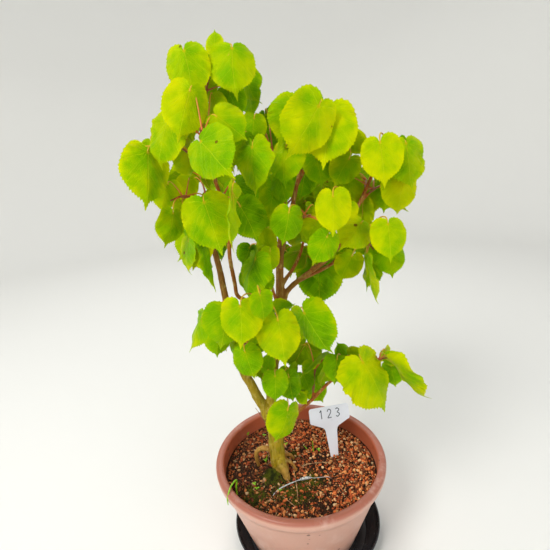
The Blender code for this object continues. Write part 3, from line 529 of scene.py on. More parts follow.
# %% Limbs and roots
Limb = namedtuple("Limb", "name route radii sides")
LIMBS = (
    Limb("trunk", (
        (-26, -5, 84), (-28, -6, 108), (-31, -8, 130), (-32, -8, 162), (-35, -8, 190), (-39, -8, 210),
    ), (12.0, 11.5, 10.8, 9.6, 9.0, 8.0), TRUNK_SIDES),
    Limb("left_stem", (
        (-37, -8, 196), (-50, -9, 219), (-59, -9, 243), (-67, -10, 262), (-75, -8, 300), (-80, -5, 344),
        (-87, 0, 403), (-97, 4, 445), (-110, 8, 486),
    ), (7.6, 6.6, 6.0, 5.6, 5.0, 4.4, 3.7, 2.9, 2.1), LIMB_SIDES + 1),
    Limb("centre_stem", (
        (-35, -7, 196), (-34, -4, 225), (-28, 0, 262), (-20, 2, 310), (-14, 2, 350), (-13, 2, 387),
        (-9, 4, 417), (4, 5, 463), (13, 6, 497), (19, 8, 523),
    ), (7.0, 6.4, 5.8, 5.0, 4.3, 3.6, 3.2, 2.8, 2.4, 1.9), LIMB_SIDES + 1),
    Limb("right_limb", (
        (-13, 2, 350), (-4, 1, 366), (17, 0, 383), (43, -3, 402), (60, -5, 423), (75, -5, 454),
        (94, -6, 495),
    ), (3.8, 3.4, 3.1, 2.9, 2.7, 2.4, 2.0), LIMB_SIDES),
    Limb("inner_left", (
        (-22, 1, 318), (-40, -8, 344), (-56, -12, 359), (-66, -14, 367), (-68, -14, 384), (-71, -13, 414),
        (-70, -12, 446), (-74, -12, 479), (-82, -12, 510), (-91, -14, 548),
    ), (3.2, 2.9, 2.7, 2.6, 2.6, 2.5, 2.4, 2.3, 2.1, 1.8), LIMB_SIDES),
    Limb("mid_twig", (
        (-17, 2, 340), (-23, 2, 362), (-27, 3, 385), (-31, 5, 408),
    ), (2.2, 2.0, 1.8, 1.6), LIMB_SIDES),
    Limb("dark_branch", (
        (-13, 2, 372), (3, 14, 388), (12, 22, 402), (18, 28, 418),
    ), (2.6, 2.3, 2.0, 1.7), LIMB_SIDES),
    Limb("back_right", (
        (8, 0, 377), (36, 12, 384), (55, 18, 393), (70, 20, 413), (80, 20, 428),
    ), (2.6, 2.4, 2.2, 2.0, 1.7), LIMB_SIDES),
    Limb("low_right", (
        (-30, -8, 178), (-8, -14, 196), (16, -18, 219), (44, -20, 249), (70, -25, 264), (95, -28, 272),
    ), (3.0, 2.7, 2.4, 2.2, 2.0, 1.7), LIMB_SIDES),
    Limb("mid_fork", ((11, 6, 490), (22, 9, 508), (30, 12, 525)), (2.1, 1.9, 1.7), LIMB_SIDES),
    Limb("back_stem", (
        (-21, 2, 305), (-18, 22, 345), (-14, 46, 395), (-6, 62, 450), (4, 66, 500),
    ), (3.6, 3.2, 2.8, 2.3, 1.8), LIMB_SIDES),
    Limb("back_left", (
        (-79, -6, 335), (-88, 18, 380), (-98, 42, 430), (-100, 52, 475),
    ), (3.2, 2.8, 2.2, 1.7), LIMB_SIDES),
)
ROOTS = (
    Limb("front_root", (
        (-31, -8, 134), (-26, -16, 122), (-21, -22, 108), (-18, -26, 90),
    ), (7.2, 6.2, 5.0, 4.0), ROOT_SIDES + 1),
    Limb("left_root", (
        (-31, -6, 128), (-43, -3, 137), (-56, -2, 136), (-61, 0, 124), (-59, 6, 103), (-58, 8, 92),
    ), (4.4, 3.8, 3.4, 3.0, 2.7, 2.4), ROOT_SIDES),
    Limb("back_root", (
        (-29, -6, 128), (-19, 5, 119), (-11, 11, 110), (-7, 14, 90),
    ), (3.8, 2.8, 2.3, 1.9), ROOT_SIDES),
    Limb("right_root", (
        (-29, -8, 128), (-18, -8, 120), (-9, -9, 110), (-4, -11, 92),
    ), (3.6, 2.6, 2.1, 1.7), ROOT_SIDES),
)


# %% Shoots and their leaves
Shoot = namedtuple("Shoot", "name limb height end leaves more")
# A leaf the photograph shows: where its blade joins the stalk, where its tip hangs, how far it is in front of
# the pot's axis, how far it is turned from facing the viewer, and how steeply its tip comes forward.
SHOOTS = (
    Shoot("top_up", "inner_left", 546, (214, 58, 2), (
        (184, 51, 192, 99, 30), (214, 49, 214, 28, -8), (232, 48, 236, 97, 28, -10), (213, 55, 217, 88, -14),
        (245, 74, 256, 104, -12, 40), (228, 90, 241, 119, 4, 15), (250, 86, 250, 118, -24, 55),
    ), 0),
    Shoot("top_mid", "inner_left", 492, (201, 131, 64), (
        (190, 90, 178, 141, 54), (216, 116, 247, 140, 62), (213, 98, 222, 122, 14, 30),
        (168, 121, 153, 168, 50, 50), (201, 142, 231, 177, 78, 0, 1.2),
    ), 0),
    Shoot("top_side", "inner_left", 506, (160, 138, 26), (
        (148, 152, 151, 208, 44, -40), (139, 147, 124, 145, 18), (151, 141, 159, 164, 2, 20),
    ), 0),
    Shoot("left_end", "left_stem", 482, (172, 200, 14), (
        (173, 213, 167, 249, 36, -30), (168, 184, 162, 215, 18, 25), (189, 180, 183, 206, -6),
        (190, 214, 184, 240, 4, 40),
    ), 0),
    Shoot("left_low", "left_stem", 425, (204, 236, 24), (
        (188, 241, 183, 274, 26, 60), (200, 242, 192, 271, 22, 10), (207, 243, 218, 292, 52, -72),
    ), 0),
    Shoot("inner_front", "inner_left", 470, (224, 194, 56), (
        (204, 202, 222, 256, 78), (231, 190, 223, 252, 104, 90), (240, 206, 258, 243, 48),
        (236, 184, 256, 213, 28),
    ), 0),
    Shoot("heart", "mid_twig", 404, (268, 205, 8), (
        (266, 212, 264, 230, 14), (268, 247, 262, 224, 6), (273, 193, 270, 222, 24),
        (262, 178, 258, 205, -8),
    ), 1),
    Shoot("centre_left", "centre_stem", 452, (272, 160, 27), (
        (252, 147, 255, 197, 66, 48), (280, 178, 287, 205, 14), (286, 147, 282, 186, 26, 20),
        (264, 137, 267, 175, -8, 25), (265, 115, 269, 142, -16, 40), (243, 137, 239, 171, 40),
        (254, 118, 250, 146, 20),
    ), 0),
    Shoot("mid_top", "centre_stem", 521, (315, 100, 26), (
        (319, 106, 291, 160, 64, -12), (312, 95, 310, 138, 32), (329, 112, 322, 169, 50, 25),
        (297, 104, 280, 147, 38, 15),
    ), 0),
    Shoot("mid_right", "mid_fork", 523, (345, 128, 6), (
        (339, 115, 349, 148, 24, -10), (316, 158, 322, 187, 8), (349, 159, 333, 186, 22),
        (352, 137, 364, 156, 0), (305, 172, 300, 200, -20),
    ), 0),
    Shoot("right_end", "right_limb", 493, (396, 138, 28), (
        (380, 142, 386, 187, 64), (406, 143, 414, 190, 44, -15), (401, 152, 384, 195, 72, 60),
        (402, 178, 399, 218, 30),
    ), 0),
    Shoot("right_mid", "right_limb", 466, (380, 186, 2), (
        (373, 183, 371, 215, -14), (388, 186, 384, 213, -6), (347, 180, 357, 208, 0),
    ), 1),
    Shoot("front_heart", "right_limb", 446, (341, 190, 56), (
        (333, 196, 334, 237, 84), (349, 206, 351, 224, 22),
    ), 0),
    Shoot("centre_front", "centre_stem", 430, (310, 215, 50), (
        (289, 212, 283, 246, 74), (317, 220, 306, 243, 36), (327, 237, 312, 266, 74),
    ), 0),
    Shoot("right_low", "right_limb", 414, (376, 228, 44), (
        (361, 223, 342, 247, 54, 0, 1.2), (388, 224, 391, 263, 74), (388, 248, 393, 279, 42),
    ), 0),
    Shoot("right_under", "back_right", 426, (374, 250, 22), (
        (366, 261, 374, 305, 48, 76), (366, 252, 362, 292, 30, 70), (352, 256, 340, 282, 12),
        (347, 238, 340, 262, 2),
    ), 0),
    Shoot("big_hanging", "right_limb", 388, (317, 256, -22), ((317, 262, 319, 310, -18),), 1),
    Shoot("middle", "centre_stem", 392, (266, 254, 40), (
        (255, 259, 246, 302, 48, 46), (247, 274, 244, 291, 20), (270, 251, 268, 275, 52),
        (264, 276, 253, 300, 34),
    ), 0),
    Shoot("low_front", "centre_stem", 318, (262, 300, 56), (
        (240, 306, 240, 350, 92), (260, 295, 266, 323, 60, -20), (278, 320, 286, 369, 88),
        (274, 309, 296, 307, 26, 55),
    ), 0),
    Shoot("low_left", "left_stem", 338, (214, 306, 40), (
        (227, 309, 221, 352, 62), (202, 316, 187, 352, 50, 60), (236, 339, 232, 359, 56, 40),
    ), 0),
    Shoot("low_left_inner", "left_stem", 292, (252, 345, 44), (
        (245, 352, 255, 381, 74), (257, 332, 244, 347, 38), (268, 370, 268, 352, 42),
    ), 0),
    Shoot("low_right_front", "centre_stem", 288, (302, 316, 40), ((304, 313, 327, 359, 64, 32),), 0),
    Shoot("trunk_front", "centre_stem", 232, (286, 386, 44), (
        (275, 376, 276, 404, 64), (289, 377, 294, 403, 48), (300, 395, 308, 405, 40),
        (288, 410, 277, 446, 58, -44),
    ), 0),
    Shoot("low_twig", "low_right", 222, (316, 362, 8), (
        (322, 354, 296, 374, 32, 72), (313, 363, 322, 389, 8), (312, 383, 324, 404, -18),
        (303, 374, 311, 393, 20),
    ), 1),
    Shoot("low_mid", "low_right", 256, (345, 358, 40), (
        (337, 359, 334, 387, 56), (346, 357, 337, 342, 6), (350, 356, 372, 366, 36, 0, 1.0),
        (348, 368, 346, 390, 38),
    ), 0),
    Shoot("low_end", "low_right", 271, (386, 358, 40), (
        (363, 362, 394, 412, 74, -32), (388, 357, 404, 362, 30, 0, 1.0), (391, 361, 425, 404, 56, 74),
        (391, 366, 395, 389, 20),
    ), 0),
)
# Twigs on the far side, which the photograph doesn't show: name, limb, height, heading and rise in degrees,
# length and leaves
BACK_SHOOTS = (
    ("back_top", "inner_left", 540, 100, 40, 60, 3),
    ("back_high", "back_stem", 498, 80, 45, 60, 4),
    ("back_mid_right", "back_stem", 455, 30, 25, 60, 4),
    ("back_mid_left", "back_stem", 430, 135, 20, 60, 3),
    ("back_low", "back_stem", 385, 80, 5, 55, 4),
    ("back_left_end", "back_left", 473, 110, 40, 55, 4),
    ("back_left_low", "back_left", 420, 107, 10, 50, 3),
    ("dark_end", "dark_branch", 416, 70, 40, 55, 3),
    ("right_back", "right_limb", 480, 75, 5, 60, 4),
    ("low_back", "centre_stem", 255, 95, 10, 55, 3),
    ("left_back", "left_stem", 310, 95, 5, 50, 3),
)

print("limbs and roots:", len(LIMBS) + len(ROOTS), "shoots:", len(SHOOTS) + len(BACK_SHOOTS))

# %% [markdown]
# Growing the leaves. Each one stands clear of all the others, as on a real tree, where light and wind keep
# them apart. The rule tries the wanted place first and moves the leaf along the line of sight until it is
# free. The solids were grown by this very rule from the same seed, so the fine leaves land where the coarse
# ones are. It therefore keeps the coarse leaf's triangles for its tests, and draws its random numbers in
# the same order.

# %% From pixels to places
def sight(column, row):
    """The direction in which the photograph shows a pixel."""
    half = PHOTO_SIZE / 2
    return rotation_of_camera() @ Vector(((column - half) / PHOTO_FOCAL, (half - row) / PHOTO_FOCAL, -1))


def seen_at(column, row, front):
    """The point that a pixel shows, this far in front of the pot's axis."""
    ray = sight(column, row)
    return PHOTO_EYE + ray * ((-front - PHOTO_EYE.y) / ray.y)


def hanging_tip(column, row, base, forward):
    """Where a tip seen at this pixel is, if it comes forward by this share of how far it hangs."""
    ray = sight(column, row)
    along = forward * (base.z - PHOTO_EYE.z) + PHOTO_EYE.y - base.y
    return PHOTO_EYE + ray * (along / (forward * ray.z - ray.y))


def bezier(start, control, end, share):
    return start * (1 - share) ** 2 + control * 2 * share * (1 - share) + end * share**2


# %% Twigs
def limb_route(limb, steps=1):
    return smooth_route(limb.route, limb.radii, steps)


def point_at_height(limb, height):
    """The place on a limb's route at a height, and its radius there."""
    route, radii = limb_route(limb, 8)
    for low, high, r_low, r_high in zip(route, route[1:], radii, radii[1:]):
        if low.z <= height <= high.z:
            share = (height - low.z) / (high.z - low.z)
            return low.lerp(high, share), r_low + (r_high - r_low) * share
    return route[-1], radii[-1]


def twig_route(start, end, bend):
    """A twig's points. It arches upwards on its way to its end, or turned from that by an angle."""
    reach = end - start
    rise = Quaternion(reach.normalized(), math.radians(bend)) @ Vector((0, 0, TWIG_ARCH * reach.length))
    control = start + reach * 0.5 + rise
    return [bezier(start, control, end, k / TWIG_STEPS) for k in range(TWIG_STEPS + 1)]


def cut_route(route, skip):
    """The route without its first stretch of that length."""
    for k in range(len(route) - 1):
        step = (route[k + 1] - route[k]).length
        if skip < step:
            here = route[k].lerp(route[k + 1], skip / step)
            return here, [p for p in route[k + 1 :] if (p - here).length > SHORTEST_BIT]
        skip -= step
    raise ValueError("the twig is shorter than its stub")


def split_twig(route, radius, wood):
    """The end of a twig's stub, and the twig that goes on from it, clear of all wood."""
    skip = radius
    while True:
        cut, rest = cut_route(route, skip)
        nearest = min(tree.find_nearest(cut)[3] for tree in wood)
        if nearest >= TWIG_RADIUS + TWIG_SPUR:
            return cut, [cut + (rest[0] - cut).normalized() * GAP, *rest]
        skip += STUB_STEP


def clear_twig(start, end, radius, taken, wood):
    """The first way for a twig to arch that takes it clear of the wood and of the other twigs."""
    choices = [(shift, bend) for shift in TWIG_SHIFTS for bend in TWIG_BENDS]
    for shift, bend in choices:
        sight_line = (end - PHOTO_EYE).normalized()
        cut, twig = split_twig(twig_route(start, end + sight_line * shift, bend), radius, wood)
        taper = (TWIG_TIP_RADIUS - TWIG_RADIUS) / (len(twig) - 1)
        sizes = [TWIG_RADIUS + taper * k for k in range(len(twig))]
        stub = tube([start, cut], [TWIG_RADIUS + TWIG_ROOM] * 2, TWIG_SIDES)
        if not taken.meets(*tube(twig, [size + TWIG_ROOM for size in sizes], TWIG_SIDES)):
            if not taken.meets(*stub, but="wood"):
                return cut, twig, sizes
    raise ValueError("a twig meets the wood")


# %% The shape of a leaf
Form = namedtuple("Form", "width arch fold wave phase")


def leaf_frame(base, tip, turn):
    """Across, along and out of a blade's upper face, which turns from the viewer by an angle in degrees."""
    along = (tip - base).normalized()
    view = (PHOTO_EYE - base).normalized()
    out = (view - along * view.dot(along)).normalized()
    out = Quaternion(along, math.radians(turn)) @ out
    return along.cross(out), along, out


def blade_point(across, along, length, form):
    """A point of the curved blade in its own frame, from shares of its length."""
    side = math.copysign(1, across) if across else 0
    edge = abs(across) * 2
    drop = form.arch * along * along + form.fold * abs(across)
    ripple = form.wave * edge * edge * math.sin(form.phase + side * 1.3 + along * 9)
    return Vector((across * form.width, along, ripple - drop)) * length


def stalk_bend(base, along, out, length):
    """The point that a stalk's curve bends towards: back from the blade, below it and up."""
    return base - along * (0.35 * length) + out * (-0.12 * length) + Vector((0, 0, 0.1 * length))


def stalk_path(root, base, along, out, length):
    """A leaf stalk leaves the twig upwards and outwards, then bends over into the blade's midrib."""
    return [bezier(root, stalk_bend(base, along, out, length), base, share) for share in (0, 0.55, 1)]


def leaf_mesh(base, tip, turn, root, form, thick=BLADE_THICKNESS):
    """Vertices and triangles of one leaf: a closed blade, and a stalk drawn out of its base wall."""
    across, along, out = leaf_frame(base, tip, turn)
    length = (tip - base).length
    half = STALK_WIDTH / 2

    def world(point):
        return base + across * point.x + along * point.y + out * point.z

    right = [world(blade_point(x, y, length, form)) for x, y in HALF_OUTLINE]
    left = [world(blade_point(-x, y, length, form)) for x, y in HALF_OUTLINE]
    point = world(blade_point(0, 1, length, form))
    rib = world(blade_point(0, MIDRIB, length, form))
    sheet = [base - across * half, base + across * half, *right, point, *reversed(left), rib]
    n = len(HALF_OUTLINE)
    base_left, base_right, tip_at, rib_at = 0, 1, 2 + n, len(sheet) - 1
    up = [p + out * (thick / 2) for p in sheet]
    down = [p - out * (thick / 2) for p in (base, *sheet[2:])]
    under = [len(sheet) + max(k - 1, 0) for k in range(len(sheet))]
    flat = [(base_left, base_right, rib_at)]
    for side, start in ((1, base_right), (-1, base_left)):
        edge = [start] + [2 + k if side > 0 else len(sheet) - 2 - k for k in range(n)] + [tip_at]
        tris = [(edge[0], edge[1], edge[2]), (edge[0], edge[2], rib_at)]
        tris += [(rib_at, edge[k], edge[k + 1]) for k in range(2, n + 1)]
        flat += [t if side > 0 else t[::-1] for t in tris]
    faces = flat + [tuple(under[k] for k in reversed(t)) for t in flat[1:]]
    rim = list(range(1, len(sheet) - 1)) + [0]
    for here, there in zip(rim, rim[1:]):
        faces += [(here, under[here], there), (there, under[here], under[there])]
    vertices = up + down
    blade_faces = len(faces)
    path = stalk_path(root, base, along, out, (base - root).length)
    ring = [0, 1, under[0]]
    corners = [vertices[k] - base for k in ring]
    heading = along
    for place, ahead in zip(path[-2::-1], path[:0:-1]):
        back = ahead - place
        turned = heading.rotation_difference(back)
        heading = back
        corners = [turned @ c for c in corners]
        fresh = [len(vertices) + k for k in range(3)]
        vertices += [place + c for c in corners]
        for k in range(3):
            one, two = k, (k + 1) % 3
            faces += [(ring[one], ring[two], fresh[two]), (ring[one], fresh[two], fresh[one])]
        ring = fresh
    faces.append(tuple(ring))
    return vertices, faces, blade_faces


# %% What is already taken
def box_of(vertices):
    low = Vector((min(v[k] for v in vertices) for k in range(3)))
    high = Vector((max(v[k] for v in vertices) for k in range(3)))
    return low, high


class Occupied:
    """The space that is already taken, as search trees with their boxes and the shoot that they belong to."""

    def __init__(self):
        self.trees = []

    def add(self, owner, vertices, faces):
        self.trees.append((owner, BVHTree.FromPolygons(vertices, faces), *box_of(vertices)))

    def meets(self, vertices, faces, but=""):
        """Whether a shape meets anything, but what belongs to one owner."""
        low, high = box_of(vertices)
        shape = BVHTree.FromPolygons(vertices, faces)
        for owner, tree, other_low, other_high in self.trees:
            apart = any(low[k] > other_high[k] or high[k] < other_low[k] for k in range(3))
            if owner != but and not apart and shape.overlap(tree):
                return True
        return False


# %% Growing
def drawn_form(rng):
    return Form(
        width=rng.uniform(0.82, 0.95),
        arch=rng.uniform(0.04, 0.20),
        fold=rng.uniform(0.10, 0.34),
        wave=rng.uniform(0.02, 0.05),
        phase=rng.uniform(0, math.tau),
    )


def root_on(route, base):
    """Where a leaf's stalk leaves a twig: a little before the place nearest to the blade."""
    places, run = [], 0.0
    for k in range(len(route) - 1):
        step = (route[k + 1] - route[k]).length
        for part in range(4):
            places.append((run + step * part / 4, route[k].lerp(route[k + 1], part / 4)))
        run += step
    places.append((run, route[-1]))
    nearest = min(places, key=lambda p: (p[1] - base).length)[0]
    wanted = max(FIRST_STALK, min(nearest - STALK_REACH, run - LAST_STALK))
    return min(places, key=lambda p: abs(p[0] - wanted))[1]


def grow():
    """Every twig with its stub and its leaves, by name. Random numbers are drawn in a fixed order."""
    rng = random.Random(SEED)
    limbs = {limb.name: limb for limb in LIMBS}
    taken = Occupied()
    wood = []
    for limb in (*LIMBS, *ROOTS):
        vertices, faces = tube(*limb_route(limb), limb.sides)
        taken.add("wood", vertices, faces)
        wood.append(BVHTree.FromPolygons(vertices, faces))
    wanted = []
    for shoot in SHOOTS:
        start, radius = point_at_height(limbs[shoot.limb], shoot.height)
        wanted.append((shoot, start, radius, seen_at(*shoot.end)))
    for name, limb, height, heading, rise, length, leaves in BACK_SHOOTS:
        start, radius = point_at_height(limbs[limb], height)
        turn, lift = math.radians(heading), math.radians(rise)
        reach = Vector((math.cos(turn) * math.cos(lift), math.sin(turn) * math.cos(lift), math.sin(lift)))
        wanted.append((Shoot(name, limb, height, None, (), leaves), start, radius, start + reach * length))
    plants = {}
    for shoot, start, radius, end in wanted:
        cut, twig, sizes = clear_twig(start, end, radius, taken, wood)
        taken.add(shoot.name, *tube(twig, sizes, TWIG_SIDES))
        taken.add("stub", *tube([start, cut], [TWIG_RADIUS] * 2, TWIG_SIDES))
        plant = {"stub": [start, cut], "twig": twig, "sizes": sizes, "leaves": [], "shoot": shoot}
        plants[shoot.name] = plant
    for name, plant in plants.items():
        for row in plant["shoot"].leaves:
            plant["leaves"].append(shown_leaf(row, plant["twig"], taken, name, rng))
    for name, plant in plants.items():
        for number in range(plant["shoot"].more):
            leaf = free_leaf(plant, number, taken, name, rng)
            if leaf:
                plant["leaves"].append(leaf)
    return plants, taken


# %% One leaf at a time
def settled(base, tip, turn, twig, taken, own, form):
    """The leaf, if it is clear of everything; otherwise None."""
    root = root_on(twig, base)
    vertices, faces, blade_faces = leaf_mesh(base, tip, turn, root, form, BLADE_THICKNESS + CLEARANCE)
    blade, stalk = faces[:blade_faces], faces[blade_faces:]
    if taken.meets(vertices, blade) or taken.meets(vertices, stalk, but=own):
        return None
    taken.add("blade", vertices, blade)
    taken.add(own, vertices, stalk)
    return base, tip, turn, root, form


def shown_leaf(row, twig, taken, own, rng):
    """A leaf where the photograph shows it. If something is in its way, it moves along the line of sight."""
    column, line, tip_column, tip_line, front, *rest = row
    turn = rest[0] if rest else 0
    forward = rest[1] if len(rest) > 1 else TIP_FORWARD
    form = drawn_form(rng)
    lean = rng.uniform(-LEAN, LEAN)
    for attempt in range(TRIES):
        shift = (attempt + 1) // 2 * (STEP_ALONG_SIGHT if attempt % 2 else -STEP_ALONG_SIGHT)
        swing = 0 if attempt < STEADY_TRIES else rng.uniform(-SWING, SWING)
        base = seen_at(column, line, front + shift)
        tip = hanging_tip(tip_column, tip_line, base, forward + swing / SWING_SHARE)
        leaf = settled(base, tip, turn + lean + swing, twig, taken, own, form)
        if leaf:
            return leaf
    raise ValueError(f"no room for the leaf at {column}, {line}")


FREE_SPREAD, FREE_LENGTHS = (16, 30), (40, 56)  # a free leaf's distance from its twig, and its length


def free_leaf(plant, number, taken, own, rng):
    """A leaf that the photograph doesn't show. They stand alternately, and one with no room isn't grown."""
    twig = plant["twig"]
    count = plant["shoot"].more
    share = 0.3 + 0.7 * (number + 1) / count
    place = min(len(twig) - 1, round(share * (len(twig) - 1)))
    ahead = (twig[place] - twig[place - 1]).normalized()
    side = ahead.cross(UP).normalized() * (1 if number % 2 else -1)
    form = drawn_form(rng)
    for _ in range(TRIES):
        spread = rng.uniform(*FREE_SPREAD)
        away = side * rng.uniform(0.5, 1.2) + ahead * rng.uniform(0.2, 0.8)
        away += Vector((0, rng.uniform(0, 0.9), 0.2))
        base = twig[place] + away.normalized() * spread
        hang = Vector((away.x * 0.35, away.y * 0.35, -1)).normalized()
        hang = (hang + Vector((rng.uniform(-0.3, 0.3), rng.uniform(-0.3, 0.3), 0))).normalized()
        tip = base + hang * rng.uniform(*FREE_LENGTHS)
        leaf = settled(base, tip, 180 - rng.uniform(-70, 70), twig, taken, own, form)
        if leaf:
            return leaf
    return None


plants, taken = grow()
print("leaves:", sum(len(plant["leaves"]) for plant in plants.values()))

# %% [markdown]
# How well does the rule repeat? Each shoot's coarse leaves are made once more here and their box is held
# against the box of the solid that they stand for. A difference of more than a few hundredths of a
# millimetre would mean that a random number was drawn out of turn.

# %% Compare with the solids
def coarse_points(plant):
    points = tube(plant["twig"], plant["sizes"], TWIG_SIDES)[0]
    for leaf in plant["leaves"]:
        points += leaf_mesh(*leaf)[0]
    return points


def offset_from_solid(name, plant):
    """The largest difference between the corners of two boxes, in millimetres."""
    made = box_of(coarse_points(plant))
    return max(abs(a / MM - b) for c, d in zip(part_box(name), made) for a, b in zip(c, d))


worst = max((offset_from_solid("shoot_" + name, plant), name) for name, plant in plants.items())
print(f"largest offset from a solid: {worst[0]:.3f} mm at {worst[1]}")

# %% [markdown]
# A crown this dense also holds small young leaves, tucked between the large ones. The solids leave them
# out, as they carry nothing and would cost as many triangles as a large leaf. They grow here by the same
# rule, close to their twigs, wherever there is still room, but not where they would hide the limbs that the
# photograph shows.

# %% Small leaves in the gaps
SMALL_LEAVES = 2  # tried on each shoot
SMALL_LENGTHS = (18.0, 40.0)
SMALL_SPREAD = (8.0, 22.0)
LOWEST_TIP = 195.0
BARE_LIMBS, BARE_TOP, BARE_PIXELS = ("left_stem", "centre_stem", "inner_left", "right_limb"), 520.0, 12.0
GAPS = (  # in the crown: pixels that stay free, each with its reach
    (202, 302, 14), (331, 92, 14), (268, 98, 12), (372, 342, 12), (328, 308, 16), (300, 352, 12),
)


def pixel_of(place):
    """Where the photograph shows a place."""
    seen = rotation_of_camera().inverted() @ (place - PHOTO_EYE)
    half = PHOTO_SIZE / 2
    return Vector((half - PHOTO_FOCAL * seen.x / seen.z, half + PHOTO_FOCAL * seen.y / seen.z))


bare_wood = [
    (pixel_of(place), place.y)
    for limb in LIMBS if limb.name in BARE_LIMBS
    for place in limb_route(limb, 4)[0] if place.z < BARE_TOP
]


def in_the_way(place):
    """Whether a place stands before a limb, or in a gap of the crown, that the photograph shows."""
    pixel = pixel_of(place)
    if any((pixel - Vector((column, row))).length < reach for column, row, reach in GAPS):
        return True
    return any(place.y < depth and (pixel - spot).length < BARE_PIXELS for spot, depth in bare_wood)


def small_leaf(name, plant, rng):
    twig = plant["twig"]
    form = drawn_form(rng)
    for _ in range(TRIES):
        k = rng.randrange(1, len(twig))
        start = twig[k - 1].lerp(twig[k], rng.random())
        away = Vector((rng.gauss(0, 1), abs(rng.gauss(0, 1)), rng.gauss(0.3, 0.6))).normalized()
        base = start + away * rng.uniform(*SMALL_SPREAD)
        across, back = away.x * 0.4 + rng.uniform(-0.3, 0.3), away.y * 0.4 + rng.uniform(-0.3, 0.3)
        tip = base + Vector((across, back, -1)).normalized() * rng.uniform(*SMALL_LENGTHS)
        if tip.z < LOWEST_TIP or any(in_the_way(place) for place in (base, tip, base.lerp(tip, 0.5))):
            continue
        leaf = settled(base, tip, rng.choice((0, 180)) + rng.uniform(-60, 60), twig, taken, name, form)
        if leaf:
            return leaf
    return None


small_rng = random.Random(SEED + 5)
for name, plant in plants.items():
    grown = [small_leaf(name, plant, small_rng) for _ in range(SMALL_LEAVES)]
    plant["small"] = [leaf for leaf in grown if leaf]
print("small leaves:", sum(len(plant["small"]) for plant in plants.values()))

# %% [markdown]
# The wood. A bonsai's trunk is one piece with its limbs, and where a limb leaves it the bark swells into a
# collar. Tubes that only cross would show a hard seam there, so they are melted together: a voxel remesh
# keeps their outer skin, and a little smoothing then rounds every fork. Knots, ridges and scars are pushed
# out of that skin afterwards, because the smoothing would have taken them away.

# %% The wood's rough shape
VOXEL = 1.05
TRUNK_FINE_SIDES = 28
LIMB_FINE_SIDES = 16
ROUTE_STEPS = 8
COLLAR = 1.35  # a limb's radius where it leaves the wood, as a share of its own
COLLAR_LENGTH = 9.0
STUB_SWELL = (0.5, 0.15)  # how much thicker than its twig a stub is at its two ends
SMOOTHINGS = 5


def with_collar(route, radii):
    """The radii, swollen near the start of the route."""
    run, sizes = 0.0, []
    for k, radius in enumerate(radii):
        run += (route[k] - route[k - 1]).length if k else 0.0
        sizes.append(radius * (1 + (COLLAR - 1) * math.exp(-((run / COLLAR_LENGTH) ** 2))))
    return sizes


def rough_wood():
    """Tubes for the wood, and every place on their routes with its radius and how much it is root."""
    parts, places = [], []
    for limb in (*LIMBS, *ROOTS):
        route, radii = smooth_route(limb.route, limb.radii, ROUTE_STEPS)
        if limb.name != "trunk":
            radii = with_collar(route, radii)
        sides = TRUNK_FINE_SIDES if limb.name == "trunk" else LIMB_FINE_SIDES
        parts.append(tube(route, radii, sides))
        places += [(p, r, 1.0 if limb in ROOTS else 0.0) for p, r in zip(route, radii)]
    for plant in plants.values():
        start, end = plant["stub"]
        parts.append(tube([start, end], [TWIG_RADIUS + more for more in STUB_SWELL], 10))
        places += [(start, TWIG_RADIUS, 0.0), (end, TWIG_RADIUS, 0.0)]
    return joined(*parts), places


def melted(mesh, voxel, rounds):
    """The outer skin of a mesh as one surface of small squares, smoothed."""
    lump = bpy.data.objects.new("lump", mesh)
    scene.collection.objects.link(lump)
    remesh = lump.modifiers.new("Skin", "REMESH")
    remesh.mode = "VOXEL"
    remesh.voxel_size = voxel * MM
    smooth = lump.modifiers.new("Round", "SMOOTH")
    smooth.factor = 0.5
    smooth.iterations = rounds
    seen = lump.evaluated_get(bpy.context.evaluated_depsgraph_get())
    skin = bpy.data.meshes.new_from_object(seen)
    bpy.data.objects.remove(lump)
    return skin


wood_tubes, wood_places = rough_wood()
wood_mesh = melted(mesh_of("wood", *wood_tubes), VOXEL, SMOOTHINGS)
print("wood:", len(wood_mesh.polygons), "squares")

# %% [markdown]
# Relief and the bark's colours need to know how thick the wood is at each point, and whether it is root. A
# KD tree finds the nearest place on the routes quickly, and the answer is kept on the mesh as an attribute
# that the bark's material reads too.

# %% Relief on the wood
Knot = namedtuple("Knot", "place reach height")
KNOTS = (
    Knot((-45, -13, 196), 7.0, 2.2),
    Knot((-25, -14, 203), 6.0, 1.6),
    Knot((-23, -15, 168), 5.0, 1.6),
    Knot((-40, -14, 150), 5.5, 1.3),
    Knot((-70, -15, 268), 5.0, 1.4),
    Knot((-30, -6, 268), 5.0, 1.2),
    Knot((-78, -13, 366), 5.0, 1.5),
    Knot((-16, -3, 352), 5.0, 1.4),
    Knot((-27, -18, 128), 6.0, 1.5),
)
KNOT_HOLLOW, HOLLOW_REACH = 0.45, 0.35  # in the middle of a knot, as shares of its height and reach
RIDGES, RIDGE_GAIN = 0.055, 1.6  # how high they are, in shares of the wood's radius


def relief_of(point, radius, root):
    """How far the bark stands out at a place."""
    along = Vector((point.x * 0.30, point.y * 0.30, point.z * (0.30 if root else 0.06)))
    height = noise.fractal(along, 0.9, 2.1, 3) * RIDGES * radius * RIDGE_GAIN
    height += noise.noise(point * 0.5) * 0.12 + noise.noise(point * 0.09) * 0.05 * radius
    for knot in KNOTS:
        away = (point - Vector(knot.place)).length / knot.reach
        if away < 2.5:
            hollow = KNOT_HOLLOW * math.exp(-((away / HOLLOW_REACH) ** 2))
            height += knot.height * (math.exp(-away * away) - hollow)
    return height


